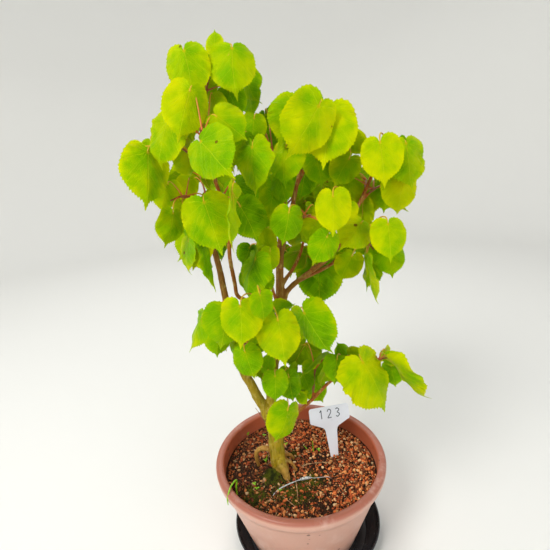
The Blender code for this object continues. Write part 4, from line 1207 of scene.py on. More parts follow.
ROOT_TOP = 132.0
TRUNK_FOOT = Vector((-28.0, -6.0, 108.0))
TRUNK_WAIST = Vector((-32.0, -8.0, 162.0))
TRUNK_FOOT_RADIUS = 11.5
ROOT_FADE = 9.0  # how far outside the trunk a root's own look begins in full
LOW_FOOT, LOW_FADE = 122.0, 16.0  # the foot turns into root below that height, over that distance


def rootiness(point):
    """0 on the trunk, 1 on a root a few millimetres away from it or low on its foot."""
    rise = (TRUNK_WAIST - TRUNK_FOOT).normalized()
    off_axis = (point - TRUNK_FOOT) - rise * (point - TRUNK_FOOT).dot(rise)
    away = (off_axis.length - TRUNK_FOOT_RADIUS) / ROOT_FADE
    low = (LOW_FOOT - point.z) / LOW_FADE
    return clamp(max(away, low) + 0.25 * noise.noise(point * 0.2))


def carve(mesh, places):
    """Pushes the relief out of the skin, and keeps its girth on each point."""
    tree = KDTree(len(places))
    for k, (place, _, _) in enumerate(places):
        tree.insert(place, k)
    tree.balance()
    girths, roots = [], []
    mesh.update()
    normals = [v.vector.copy() for v in mesh.vertex_normals]
    for vertex, normal in zip(mesh.vertices, normals):
        point = vertex.co / MM
        _, radius, is_root = places[tree.find(point)[1]]
        root = rootiness(point) if is_root or point.z < ROOT_TOP else 0.0
        vertex.co += normal * relief_of(point, radius, root) * MM
        girths.append(radius)
        roots.append(root)
    for name, values in (("girth", girths), ("root", roots)):
        mesh.attributes.new(name, "FLOAT", "POINT").data.foreach_set("value", values)
    mesh.shade_smooth()


carve(wood_mesh, wood_places)


# %% [markdown]
# Bark on a young lime is smooth and olive, with fine cracks along the stem and a pale bloom. The pale
# clouds and streaks are also painted highlights, in the colour of the bark where light falls, laid at
# random. Thin twigs keep the red-brown of their first year, and roots that were washed free are tan. One
# material does it all: the girth that the mesh carries moves the colour from twig to trunk.

# %% Bark
BARK_TWIG = srgb(178, 88, 20)
BARK_LIMB = srgb(146, 98, 30)
BARK_TRUNK = srgb(156, 134, 14)
# pale bark colour: a bloom, and painted highlight in the colour of lit bark
BARK_BLOOM_AND_HIGHLIGHT = srgb(196, 172, 88)
BARK_ALGAE = srgb(138, 130, 2)
BARK_CRACK = srgb(68, 50, 14)
BARK_ROOT = srgb(178, 136, 62)


def bark_material():
    made, tree, shader = material("lime_bark", 0.6)
    girth = attribute(tree, "girth", "Fac")
    old = between(tree, girth, 3.0, 7.0)
    root = attribute(tree, "root", "Fac")
    fibres = noise_of(tree, 1.6, 4.0, 0.6, (1, 1, 6))
    bloom_and_highlight, algae = noise_of(tree, 9.0, 4.0), noise_of(tree, 13.0, 4.0, shift=4.0)
    streaks = noise_of(tree, 3.2, 3.0, 0.5, (1, 1, 9), shift=7.0)
    spots = grouped(tree, SPECKLE, "Mask", Size=3.2, Share=0.35, Softness=0.6)
    colour = coats(
        tree, BARK_TWIG,
        (between(tree, girth, 1.5, 3.4), BARK_LIMB),
        (between(tree, girth, 3.6, 6.4), BARK_TRUNK),
        # painted highlights: pale clouds and streaks in the colour of lit bark, together with the bloom and
        # the lenticel spots
        (between(tree, bloom_and_highlight, 0.5, 0.72, 0.0, 0.75), BARK_BLOOM_AND_HIGHLIGHT),
        (times(tree, old, between(tree, algae, 0.5, 0.68, 0.0, 0.75)), BARK_ALGAE),
        (between(tree, streaks, 0.54, 0.72, 0.0, 0.55), BARK_BLOOM_AND_HIGHLIGHT),
        (between(tree, root, 0.0, 1.0, 0.0, 0.8), BARK_ROOT),
        (times(tree, spots, 0.55), BARK_BLOOM_AND_HIGHLIGHT),
        (between(tree, fibres, 0.34, 0.48, 0.5, 0.0), BARK_CRACK),
    )
    height = calc(tree, "MULTIPLY_ADD", noise_of(tree, 0.6, 3.0), 0.4, fibres)
    set_inputs(
        shader, Base_Color=colour, Normal=bump(tree, height, 0.35, 0.5),
        Roughness=between(tree, fibres, 0.3, 0.7, 0.8, 0.52), Specular_IOR_Level=0.3,
    )
    return made


piece("bark_of_the_tree", wood_mesh, bark_material(), slot="bark", instead_of=("trunk_and_limbs",))

# %% [markdown]
# A lime leaf is a heart with a drawn-out tip and a toothed edge. The coarse leaf has 13 points round it;
# the fine one has the same surface with a smooth outline, more than two dozen teeth a side, soft swellings
# between its side veins and a midrib that stands out below. The blade is a closed skin a third of a
# millimetre thick, since a sheet with no thickness would have no edge to catch the light, and no inside to
# glow with a lamp behind it.

# %% The leaf's outline
BLADE_FINE = 0.36
EDGE_FINE = 0.14
TEETH, SMALL_TEETH = 27, 15
TOOTH = 0.02  # as shares of the blade's length, like the outline
TOOTH_LEAN = 0.012
RINGS = 3
FINE_OUTLINE = (
    (0.0, 0.0), (0.06, -0.07), (0.16, -0.135), (0.30, -0.145), (0.43, -0.06), (0.51, 0.10), (0.53, 0.29),
    (0.49, 0.47), (0.40, 0.62), (0.26, 0.735), (0.13, 0.80), (0.058, 0.85), (0.03, 0.92), (0.0, 1.0),
)
VEIN_START = 0.17
VEIN_PITCH = 0.20
VEIN_SLOPE = 0.75
VEIN_BEND = 0.5


def even_edge(count):
    """Points at even steps along the smooth half outline, each with its outward direction."""
    points = [Vector((x, y, 0)) for x, y in FINE_OUTLINE]
    fine = smooth_route(points, [0] * len(points), 16)[0]
    runs = [0.0]
    for here, there in zip(fine, fine[1:]):
        runs.append(runs[-1] + (there - here).length)
    edge, k = [], 0
    for step in range(count + 1):
        wanted = runs[-1] * step / count
        while k < len(fine) - 2 and runs[k + 1] < wanted:
            k += 1
        share = (wanted - runs[k]) / (runs[k + 1] - runs[k])
        ahead = (fine[k + 1] - fine[k]).normalized()
        edge.append((fine[k].lerp(fine[k + 1], share), Vector((ahead.y, -ahead.x, 0)), ahead))
    return edge


def toothed_edge(teeth):
    """The half outline with its teeth, which lean towards the tip."""
    edge = even_edge(teeth * 2)
    made = []
    for k, (point, outward, ahead) in enumerate(edge):
        share = k / len(edge)
        out = TOOTH * (0.6 + 0.9 * share) * (1 + 0.4 * math.sin(k * 2.3)) if k % 2 else 0.0
        fade = min(1.0, k / 6, (len(edge) - 1 - k) / 5)
        made.append(point + (outward * out + ahead * (TOOTH_LEAN if k % 2 else 0.0)) * fade)
    return made


print("points round a leaf:", 4 * TEETH)

# %% [markdown]
# The grid of a blade runs the way its side veins do: from the midrib outwards and forwards. Rows of faces
# that follow the veins can swell between them without a stair-step, and the fan at the heart's base comes
# by itself, because veins down there all start at the stalk.

# %% The grid of a leaf
def inner_end(point):
    """The place on the midrib from which a side vein would run to a point of the edge."""
    x, y = abs(point.x), point.y
    return max(0.0, min(y - VEIN_SLOPE * x - VEIN_BEND * x * x, 0.985))


def leaf_grid(teeth, rings):
    """Places of one half's points, row by row from the stalk to the tip."""
    rows = []
    for point in toothed_edge(teeth):
        start = Vector((0, inner_end(point), 0))
        rows.append([start.lerp(point, ring / rings) for ring in range(rings + 1)])
    return rows


LARGE_GRID, SMALL_GRID = leaf_grid(TEETH, RINGS), leaf_grid(SMALL_TEETH, RINGS)


def vein_phase(x, y):
    """Counts the side veins up the blade: a whole number on each vein."""
    return (y - VEIN_SLOPE * abs(x) - VEIN_BEND * x * x - VEIN_START) / VEIN_PITCH


CRUMPLE = 0.045  # how uneven a blade is, as a share of its length
QUILT = 0.0036  # how far it swells between two side veins


def hearted(x, y, whim):
    """A place on the flat blade once its lobes are as deep, and the notch as narrow, as in this leaf."""
    below = clamp(-y / 0.1)
    near = max(0.0, 1 - abs(x) / 0.35)
    return x * (1 - whim.close * below * near), y * whim.lobe if y < 0 else y


def fine_point(x, y, length, form, whim):
    """A point of the fine blade in its own frame, from shares of its length."""
    x, y = hearted(x, y, whim)
    side = math.copysign(1, x) if x else 0
    edge = min(1.0, abs(x) * 2)
    crease = math.sqrt(x * x + 0.0012) - 0.02
    drop = form.arch * y * y + form.fold * crease
    ripple = form.wave * edge * edge * math.sin(form.phase + side * 1.3 + y * 9)
    lobe = whim.curl[side > 0] * edge * edge * (0.35 + max(0.0, 0.6 - y))
    wave = math.sin(whim.phase + side * 2.1 + y * 19 + 2 * math.sin(y * 7 + whim.phase))
    ruffle = whim.ruffle * edge**2.5 * wave
    inside = min(1.0, abs(x) * 9) * max(0.0, 1 - edge**4)
    quilt = -QUILT * math.cos(math.tau * vein_phase(x, y)) * inside
    curl = whim.tip * max(0.0, y - 0.7) ** 2 * 5
    wide = x * form.width * (1 + whim.lop * side) + whim.bow * math.sin(math.pi * clamp(y))
    long = y - whim.lop * side * max(0.0, 0.35 - y) * edge
    hump = whim.hump * math.sin(math.pi * clamp(y)) * (1 - 0.5 * edge)
    hump += CRUMPLE * noise.noise(Vector((x * 3.4, y * 3.4, whim.phase * 3)))
    height = ripple + ruffle + quilt + hump - curl - drop - lobe
    twist = whim.twist * y
    return Vector((wide - height * twist, long, height + wide * twist)) * length


# %% [markdown]
# No two leaves of a tree are alike. The solids know how broad, arched and folded each one is; the fine leaf
# adds whims of its own, small enough to keep it in its place: lobes that curl down, a wavy margin, a twist,
# a midrib that bows to one side, and the lopsided base by which a lime leaf is known.

# %% The whims of a leaf
Whim = namedtuple("Whim", "curl ruffle phase tip bow lop twist hump lobe close")


def drawn_whim(rng):
    return Whim(
        curl=(rng.uniform(-0.10, 0.15), rng.uniform(-0.10, 0.15)),
        ruffle=rng.uniform(0.012, 0.034),
        phase=rng.uniform(0, math.tau),
        tip=rng.uniform(-0.15, 0.45),
        bow=rng.uniform(-0.03, 0.03),
        lop=rng.uniform(-0.07, 0.07),
        twist=rng.uniform(-0.12, 0.12),
        hump=rng.uniform(0.0, 0.05),
        lobe=rng.uniform(0.9, 1.6),
        close=1 - 0.5 * rng.random() ** 1.5,
    )


# %% One blade
class Sprout:
    """The points and faces of one leafy shoot, each face with its material and each point with its place."""

    def __init__(self):
        self.points, self.faces, self.skins = [], [], []
        self.places, self.tints = [], []

    def add(self, points, faces, skin, places, tint):
        start = len(self.points)
        self.points += points
        self.faces += [tuple(k + start for k in face) for face in faces]
        self.skins += [skin] * len(faces)
        self.places += places
        self.tints += [tint] * len(points)


BLADE_SKIN, STALK_SKIN, TWIG_SKIN = 0, 1, 2


def fine_blade(leaf, whim, grid):
    """Points, faces and places of a closed blade."""
    base, tip, turn, _, form = leaf
    across, along, out = leaf_frame(base, tip, turn)
    length = (tip - base).length
    sheet, flat, where = [], [], {}

    def corner(x, y, rim):
        key = (round(x, 6), round(y, 6))
        if key not in where:
            made = fine_point(x, y, length, form, whim)
            where[key] = len(sheet)
            sheet.append((base + across * made.x + along * made.y + out * made.z, x, y, rim))
        return where[key]

    for side in (1, -1):
        ids = [[corner(side * p.x, p.y, p is row[-1]) for p in row] for row in grid]
        for low, high in zip(ids, ids[1:]):
            for ring in range(len(low) - 1):
                face = dict.fromkeys((low[ring], low[ring + 1], high[ring + 1], high[ring]))
                if len(face) > 2:
                    flat.append(tuple(face) if side > 0 else tuple(face)[::-1])
    n = len(sheet)
    half = [(EDGE_FINE if rim else BLADE_FINE) / 2 for *_, rim in sheet]
    points = [place[0] + out * h for place, h in zip(sheet, half)]
    points += [place[0] - out * h for place, h in zip(sheet, half)]
    places = [(x, y, 1.0) for _, x, y, _ in sheet] + [(x, y, -1.0) for _, x, y, _ in sheet]
    faces = flat + [tuple(k + n for k in reversed(face)) for face in flat]
    ends = [row[-1] for row in grid]
    right, left = ([where[(round(side * p.x, 6), round(p.y, 6))] for p in ends] for side in (1, -1))
    for line in (right, left[::-1]):
        faces += [(a + n, b + n, b, a) for a, b in zip(line, line[1:]) if a != b]
    return points, faces, places


# %% [markdown]
# The stalk of a lime leaf is long and thin, orange-red where it leaves the twig and yellow near the blade.
# It doesn't stop at the blade: it runs on below it as the midrib, and two strong side ribs fork off at the
# heart. Each is a tapered tube along the same curves as the coarse leaf's stalk, so nothing hangs beside
# its place.

# %% Stalks and ribs
STALK_ROOT_RADIUS = 1.15
STALK_RADIUS = 0.76
RIB_RADIUS = 0.5
RIB_TIP_RADIUS = 0.12
SIDE_RIBS = ((0.30, 0.30), (0.40, 0.05))  # where they end, as shares across and along
SIDE_RIB_DEPTH = 2.4 * BLADE_FINE  # below the middle of the blade
SIDE_RIB_RADIUS = 0.7 * RIB_RADIUS
RIB_FOOT = 0.02  # where the side ribs fork off, as a share of the blade's length


def on_underside(leaf, whim, x, y, below):
    """A place under the blade, a little way off its middle."""
    base, tip, turn, _, form = leaf
    across, along, out = leaf_frame(base, tip, turn)
    made = fine_point(x, y, (tip - base).length, form, whim)
    return base + across * made.x + along * made.y + out * (made.z - below)


def stalk_parts(leaf, whim, sides, side_ribs):
    """The stalk with the midrib it becomes, and the side ribs: (points, faces, places) of each."""
    base, tip, turn, root, _ = leaf
    _, along, out = leaf_frame(base, tip, turn)
    bend = stalk_bend(base, along, out, (base - root).length)
    stalk = [bezier(root, bend, base, k / 9) for k in range(9)]
    rib = [on_underside(leaf, whim, 0, 0.03 + 0.92 * k / 8, BLADE_FINE) for k in range(9)]
    route = stalk + rib
    radii = [STALK_ROOT_RADIUS + (STALK_RADIUS - STALK_ROOT_RADIUS) * min(1, k / 2) for k in range(9)]
    radii += [RIB_RADIUS + (RIB_TIP_RADIUS - RIB_RADIUS) * k / 8 for k in range(9)]
    shares = [k / 9 for k in range(9)] + [1 + k / 8 for k in range(9)]
    parts = [(*tube(route, radii, sides), [(s, 0.0, 0.0) for s in shares for _ in range(sides)])]
    sizes = [SIDE_RIB_RADIUS + (RIB_TIP_RADIUS - SIDE_RIB_RADIUS) * k / 4 for k in range(5)]
    places = [(1.2 + 0.1 * k, 0.0, 0.0) for k in range(5) for _ in range(4)]
    for end_x, end_y in side_ribs:
        for side in (1, -1):
            path = []
            for k in range(5):
                share = k / 4
                y = RIB_FOOT + (end_y - RIB_FOOT) * share + 0.05 * math.sin(math.pi * share)
                path.append(on_underside(leaf, whim, side * end_x * share, y, SIDE_RIB_DEPTH))
            parts.append((*tube(path, sizes, 4), places))
    return parts


# %% Twigs and buds
BUD_LENGTH = 3.4
BUD_RADIUS = 1.15
BUD_SHARES = (0.0, 0.12, 0.35, 0.6, 0.82, 1.0)  # along a bud, and how wide it is there
BUD_WIDTHS = (0.55, 0.85, 1.0, 0.8, 0.42, 0.05)
SWELL_REACH = 1.8
JOINT_SWELL = 0.45
TWIG_INTO_STUB = 1.2


def bud(place, ahead, size):
    """A small pointed egg."""
    route = [place + ahead * (BUD_LENGTH * size * s) for s in BUD_SHARES]
    return tube(route, [BUD_RADIUS * size * w for w in BUD_WIDTHS], 8)


def twig_parts(plant, rng):
    """The twig, swollen where each stalk leaves it, with a bud above each stalk and one at its end."""
    twig, leaves = plant["twig"], (*plant["leaves"], *plant["small"])
    roots = [leaf[3] for leaf in leaves]
    start = twig[0] + (twig[0] - twig[1]).normalized() * TWIG_INTO_STUB
    route, radii = smooth_route([start, *twig[1:]], plant["sizes"], 8)
    sizes = []
    for place, radius in zip(route, radii):
        swell = sum(math.exp(-(((place - root).length / SWELL_REACH) ** 2)) for root in roots)
        sizes.append(radius * 0.88 + JOINT_SWELL * min(1.0, swell))
    parts = [tube(route, sizes, 9)]
    ahead = (route[-1] - route[0]).normalized()
    for base, _, _, root, _ in leaves:
        outward = (base - root).normalized()
        lean = (ahead + outward * 0.55).normalized()
        parts.append(bud(root + outward * 0.9 + ahead * 0.6, lean, rng.uniform(0.55, 0.9)))
    parts.append(bud(route[-1], (route[-1] - route[-3]).normalized(), 0.85))
    return parts


# %% [markdown]
# Lime leaves are not all one green. The young ones at the end of a shoot are almost yellow, old ones
# inside the crown are darker. Each leaf gets a tint of its own, and that tint is partly painted light:
# leaves outside the crown, high up and on the young shoot low in front are tinted paler, as if lit, and
# the inner ones are left darker, as painted shade. The blade's material also reads where on the leaf a
# point lies: that is enough to draw the midrib, the side veins, the net between them and a paler
# underside, with no picture and no unwrapping.

# %% Shoots
CROWN_AXIS = Vector((-18.0, 14.0))
CROWN_RADIUS = 120.0
CROWN_FOOT, CROWN_HEIGHT = 250, 350
YOUNG_FRONT, YOUNG_TOP = -40.0, 256.0  # leaves of the young shoot at the trunk lie before and below these
YOUNG_FADE = 16
# painted light: these shares tint leaves outside the crown, high up and low in front paler, as if lit; inner
# ones stay darker as painted shade
YELLOW, YELLOW_AND_LIT_OUTSIDE, YELLOW_AND_LIT_HIGH, YELLOW_AND_LIT_YOUNG = 0.34, 0.26, 0.10, 0.36
YELLOW_WHIM = 0.2


def leaf_tint(leaf, rng):
    """How yellow a leaf is: more so outside, high up and on young shoots, partly as painted light that tints
    those leaves paler, as if lit, and leaves inner ones darker as painted shade. The last two numbers are
    spare.
    """
    base = leaf[0]
    outside = min(1.0, (base.xy - CROWN_AXIS).length / CROWN_RADIUS)
    height = (base.z - CROWN_FOOT) / CROWN_HEIGHT
    young = clamp((YOUNG_FRONT - base.y) / YOUNG_FADE) * clamp((YOUNG_TOP - base.z) / YOUNG_FADE)
    yellow = YELLOW + YELLOW_AND_LIT_OUTSIDE * outside + YELLOW_AND_LIT_HIGH * height + YELLOW_AND_LIT_YOUNG * young
    yellow += rng.uniform(-YELLOW_WHIM, YELLOW_WHIM)
    return clamp(yellow), rng.uniform(0, 1), rng.uniform(0, 1)


def shoot_mesh(name, plant, rng):
    sprout = Sprout()
    for leaf in (*plant["leaves"], *plant["small"]):
        tint, whim = leaf_tint(leaf, rng), drawn_whim(rng)
        large = leaf in plant["leaves"]
        points, faces, places = fine_blade(leaf, whim, LARGE_GRID if large else SMALL_GRID)
        sprout.add(points, faces, BLADE_SKIN, places, tint)
        for points, faces, places in stalk_parts(leaf, whim, 6 if large else 5, SIDE_RIBS if large else ()):
            sprout.add(points, faces, STALK_SKIN, places, tint)
    for points, faces in twig_parts(plant, rng):
        sprout.add(points, faces, TWIG_SKIN, [(0.0, 0.0, 0.0)] * len(points), (0.5, 0.5, 0.5))
    mesh = bpy.data.meshes.new(name)
    mesh.from_pydata([p * MM for p in sprout.points], [], sprout.faces)
    carry(mesh, "leaf_place", sprout.places)
    carry(mesh, "leaf_tint", sprout.tints)
    mesh.shade_smooth()
    mesh.set_sharp_from_angle(angle=math.radians(55))
    mesh.polygons.foreach_set("material_index", sprout.skins)
    return mesh


# %% The leaf's materials
LEAF_DARK = srgb(42, 108, 0)
LEAF_MID = srgb(113, 164, 0)
LEAF_YELLOW = srgb(194, 200, 0)
LEAF_UNDER = srgb(150, 180, 8)
VEIN_COLOUR = srgb(196, 214, 30)
SPOT_COLOUR = srgb(96, 56, 14)
STALK_RED = srgb(198, 98, 22)
STALK_YELLOW = srgb(206, 176, 16)
TWIG_RED = srgb(150, 70, 24)
TWIG_LENTICEL = srgb(190, 150, 110)
BASE_VEINS = ((0.72, 0.62), (1.25, 0.5), (1.85, 0.36))  # at the stalk: the bearing and reach of each
SIDE_VEIN = 0.55  # how strong a side vein is beside the midrib


def line_mask(tree, distance, half_width, soft):
    """1 on a line, fading to 0 at a distance from it."""
    return between(tree, distance, half_width, calc(tree, "ADD", half_width, soft), 1.0, 0.0)


def vein_masks(tree):
    """The main veins, and the fine net between them, from the place on the leaf."""
    x, y, face = parts_of(tree, attribute(tree, "leaf_place"))
    wobble = times(tree, calc(tree, "SUBTRACT", noise_of(tree, 7.0, 2.0), 0.5), 0.07)
    across = calc(tree, "ABSOLUTE", x)
    along = calc(tree, "ADD", y, wobble)
    midrib = line_mask(tree, across, 0.003, 0.008)
    slope = calc(tree, "MULTIPLY_ADD", across, VEIN_BEND, VEIN_SLOPE)
    phase = calc(tree, "SUBTRACT", along, times(tree, across, slope))
    phase = calc(tree, "DIVIDE", calc(tree, "SUBTRACT", phase, VEIN_START), VEIN_PITCH)
    near = calc(tree, "ABSOLUTE", calc(tree, "SUBTRACT", phase, calc(tree, "ROUND", phase)))
    side = line_mask(tree, times(tree, near, VEIN_PITCH), 0.0015, 0.009)
    side = times(tree, side, between(tree, phase, -0.6, -0.3, 0.0, SIDE_VEIN))
    main = calc(tree, "MAXIMUM", midrib, side)
    far = length_of(tree, x, y)
    angle = calc(tree, "ARCTAN2", across, along)
    for bearing, reach in BASE_VEINS:
        off = calc(tree, "ABSOLUTE", calc(tree, "SINE", calc(tree, "SUBTRACT", angle, bearing)))
        ray = line_mask(tree, times(tree, off, far), 0.001, 0.008)
        short = between(tree, far, reach, reach + 0.1, SIDE_VEIN, 0.0)
        main = calc(tree, "MAXIMUM", main, times(tree, ray, short))
    net = node(tree, "TexVoronoi", {"feature": "DISTANCE_TO_EDGE"}, Vector=millimetres(tree), Scale=0.55)
    mesh = line_mask(tree, net.outputs["Distance"], 0.02, 0.09)
    return main, mesh, face, between(tree, far, 0.012, 0.06, 0.7, 0.0)


# %% The blade's finish
def marginal(tree):
    """0 in the middle of the blade, 1 near its margin."""
    x, y, _ = parts_of(tree, attribute(tree, "leaf_place"))
    across = calc(tree, "DIVIDE", x, 0.53)
    along = calc(tree, "DIVIDE", calc(tree, "SUBTRACT", y, 0.3), 0.6)
    across, along = times(tree, across, across), times(tree, along, along)
    return between(tree, calc(tree, "ADD", across, along), 0.35, 1.1)


def blade_material():
    made, tree, shader = material("lime_leaf", 0.5)
    main, net, face, heart = vein_masks(tree)
    yellow = parts_of(tree, attribute(tree, "leaf_tint"))[0]
    cloud = calc(tree, "MULTIPLY_ADD", calc(tree, "SUBTRACT", noise_of(tree, 24.0, 3.0), 0.5), 1.1, yellow)
    cloud = calc(tree, "MULTIPLY_ADD", marginal(tree), 0.13, calc(tree, "SUBTRACT", cloud, 0.04))
    under = between(tree, face, 0.5, -0.5)
    spots = grouped(tree, SPECKLE, "Mask", Size=11.0, Share=0.04, Softness=0.35)
    colour = coats(
        tree, LEAF_DARK,
        (between(tree, cloud, 0.0, 0.5), LEAF_MID),
        (between(tree, cloud, 0.4, 1.0), LEAF_YELLOW),
        (times(tree, under, 0.6), LEAF_UNDER),
        (times(tree, net, 0.14), VEIN_COLOUR),
        (times(tree, main, 0.5), VEIN_COLOUR),
        (heart, STALK_YELLOW),
        (times(tree, spots, 0.85), SPOT_COLOUR),
    )
    relief = calc(tree, "MULTIPLY_ADD", net, -0.6, times(tree, main, -1.3))
    relief = calc(tree, "MULTIPLY_ADD", noise_of(tree, 0.9, 3.0), 0.5, times(tree, relief, face))
    set_inputs(
        shader, Base_Color=colour, Normal=bump(tree, relief, 0.8, 0.5),
        Roughness=between(tree, under, 0.0, 1.0, 0.48, 0.62), Subsurface_Weight=0.6,
        Subsurface_Radius=(0.8, 1.0, 0.1), Subsurface_Scale=1.2 * MM,
        Specular_IOR_Level=0.1, Specular_Tint=(0.8, 1.0, 0.03, 1),
    )
    return made


def stalk_material():
    made, tree, shader = material("leaf_stalk", 0.45)
    share = parts_of(tree, attribute(tree, "leaf_place"))[0]
    blotch = calc(tree, "MULTIPLY_ADD", noise_of(tree, 4.0, 3.0), 0.5, share)
    set_inputs(
        shader, Base_Color=coats(tree, STALK_RED, (between(tree, blotch, 0.25, 1.15), STALK_YELLOW)),
        Normal=bump(tree, noise_of(tree, 0.5, 2.0), 0.2, 0.1),
        Subsurface_Weight=0.15, Subsurface_Scale=0.6 * MM,
    )
    return made


def twig_material():
    made, tree, shader = material("young_twig", 0.5)
    cloud = between(tree, noise_of(tree, 6.0, 4.0), 0.35, 0.7)
    dots = grouped(tree, SPECKLE, "Mask", Size=1.6, Share=0.4, Softness=0.4)
    colour = coats(tree, TWIG_RED, (cloud, BARK_LIMB), (times(tree, dots, 0.6), TWIG_LENTICEL))
    height = calc(tree, "MULTIPLY_ADD", dots, 0.7, noise_of(tree, 0.8, 3.0))
    set_inputs(shader, Base_Color=colour, Normal=bump(tree, height, 0.4, 0.25))
    return made


leafy_skins = blade_material(), stalk_material(), twig_material()
tint_rng = random.Random(SEED + 1)
for name, plant in plants.items():
    made = shoot_mesh("leafy_" + name, plant, tint_rng)
    piece("leafy_" + name, made, *leafy_skins, slot="leaf", instead_of=("shoot_" + name,))
print("leafy shoots:", len(plants))

# %% [markdown]
# The pot is turned: a profile carried round the axis. It has a tapered wall, a collar that flares into a
# tall band, and a rolled lip. The drain holes are in its floor, under the soil, where the solids keep them
# for real use; here the floor is closed, because it can't be seen between soil and saucer.

# %% The pot
FINE_SIDES = 144
SAUCER_HEIGHT, SAUCER_FLOOR, SAUCER_WALL = 22.0, 2.5, 2.2
SAUCER_FOOT_RADIUS, SAUCER_RIM_RADIUS = 88.0, 103.0
SAUCER_CENTRE = Vector((6.0, -4.0, 0.0))
POT_FOOT = SAUCER_FLOOR + GAP
RIM_RADIUS, RIM_INNER_RADIUS, RIM_ROLL = 116.5, 105.5, 4.6
POT_NECK_RADIUS, POT_NECK = 109.5, RIM_TOP - 21.0
POT_FOOT_RADIUS, POT_WALL, POT_FLOOR, POT_FOOT_RING = 77.0, 3.2, 3.0, 4.0
SOIL_LEVEL = 103.0


def pot_profile():
    lip = RIM_TOP - RIM_ROLL
    floor_top = POT_FOOT + POT_FOOT_RING + POT_FLOOR
    slope = (POT_NECK_RADIUS - POT_FOOT_RADIUS) / (POT_NECK - POT_FOOT)
    inner_floor = POT_FOOT_RADIUS + slope * (floor_top - POT_FOOT) - POT_WALL
    wall = [(POT_FOOT_RADIUS + slope * h, POT_FOOT + h) for h in (2, 20, 45, 75, POT_NECK - POT_FOOT - 1.5)]
    return [
        (0, POT_FOOT + POT_FOOT_RING),
        (POT_FOOT_RADIUS - 5, POT_FOOT + POT_FOOT_RING),
        (POT_FOOT_RADIUS - 4, POT_FOOT),
        (POT_FOOT_RADIUS - 0.8, POT_FOOT),
        *wall,
        *arc((POT_NECK_RADIUS + 1.6, POT_NECK + 0.6), 1.6, 200, 130, 4),
        (RIM_RADIUS - 3.2, RIM_TOP - 16.5),
        (RIM_RADIUS - 1.6, RIM_TOP - 13),
        (RIM_RADIUS - 0.5, RIM_TOP - 10),
        (RIM_RADIUS, RIM_TOP - 7),
        *arc((RIM_RADIUS - RIM_ROLL, lip), RIM_ROLL, 5, 90, 9),
        *arc((RIM_INNER_RADIUS + RIM_ROLL, lip), RIM_ROLL, 95, 180, 9),
        (RIM_INNER_RADIUS, RIM_TOP - 12),
        (RIM_INNER_RADIUS, SOIL_LEVEL),
        (inner_floor, floor_top),
        (0, floor_top),
    ]


# %% Faded plastic
POT_BODY = srgb(204, 158, 140)
POT_RIM = srgb(166, 102, 84)
# inner wall colour: damp plastic, and painted shade
POT_INSIDE_DAMP_AND_SHADE = srgb(178, 94, 64)
POT_DUST = srgb(228, 206, 196)
POT_SPECK = srgb(84, 60, 48)


def pot_material():
    made, tree, shader = material("faded_terracotta_plastic", 0.42)
    x, y, z = parts_of(tree, millimetres(tree))
    near_axis = between(tree, length_of(tree, x, y), RIM_INNER_RADIUS + 2.2, RIM_INNER_RADIUS + 0.4)
    inside = times(tree, near_axis, between(tree, z, SOIL_LEVEL - 6, SOIL_LEVEL - 1))
    dust = grouped(tree, WEATHERING, "Mask", Size=38.0, Amount=0.55, Streaks=0.35)
    specks = grouped(tree, SPECKLE, "Mask", Size=13.0, Share=0.16, Softness=0.3)
    colour = coats(
        tree, POT_BODY,
        (between(tree, z, RIM_TOP - 6, RIM_TOP - 1.5), POT_RIM),
        # the inner wall above the soil is darker: partly damp, partly painted shade
        (inside, POT_INSIDE_DAMP_AND_SHADE),
        (times(tree, dust, calc(tree, "MULTIPLY_ADD", inside, -0.24, 0.34)), POT_DUST),
        (times(tree, specks, 0.7), POT_SPECK),
    )
    skin = grouped(tree, MOULDED, "Height", Size=0.45, Waves=0.5)
    set_inputs(
        shader, Base_Color=colour, Normal=bump(tree, skin, 0.12, 0.25),
        Roughness=between(tree, dust, 0.0, 1.0, 0.36, 0.62), Specular_IOR_Level=0.3,
        Subsurface_Weight=0.08, Subsurface_Scale=1.5 * MM,
    )
    return made


pot_mesh = mesh_of("pot", *lathe(pot_profile(), FINE_SIDES))
piece("pot_wall_and_rim", pot_mesh, pot_material(), slot="pot_plastic", instead_of=("pot",))

# %% [markdown]
# The saucer is a shallow black dish, thinner than the pot and with more shine. Faint rings on its floor and
# a rounded lip catch light where nothing else would show on black plastic. Water has left a pale film of
# lime in it, in clouds and specks.

# %% The saucer
def saucer_profile():
    lip = SAUCER_WALL / 2
    inner = SAUCER_FOOT_RADIUS - SAUCER_WALL
    top = SAUCER_HEIGHT - lip
    rings = []
    for radius in range(10, 80, 10):
        rings += [(radius + 1.4, SAUCER_FLOOR), (radius + 0.7, SAUCER_FLOOR - 0.35), (radius, SAUCER_FLOOR)]
    return [
        (0, 0),
        (SAUCER_FOOT_RADIUS - 2, 0),
        *arc((SAUCER_FOOT_RADIUS - 1.6, 1.6), 1.6, -80, -15, 4),
        (SAUCER_FOOT_RADIUS + 4, 7),
        (SAUCER_FOOT_RADIUS + 9.4, 14),
        *arc((SAUCER_RIM_RADIUS - lip, top), lip, 0, 180, 10),
        (SAUCER_FOOT_RADIUS + 7.2, 14),
        (inner + 1.8, 5.6),
        *arc((inner - 2.5, SAUCER_FLOOR + 2.5), 2.5, -10, -90, 5),
        *reversed(sorted(rings)),
        (0, SAUCER_FLOOR),
    ]


SAUCER_BLACK = srgb(42, 46, 50)
SAUCER_LIME = srgb(96, 98, 96)


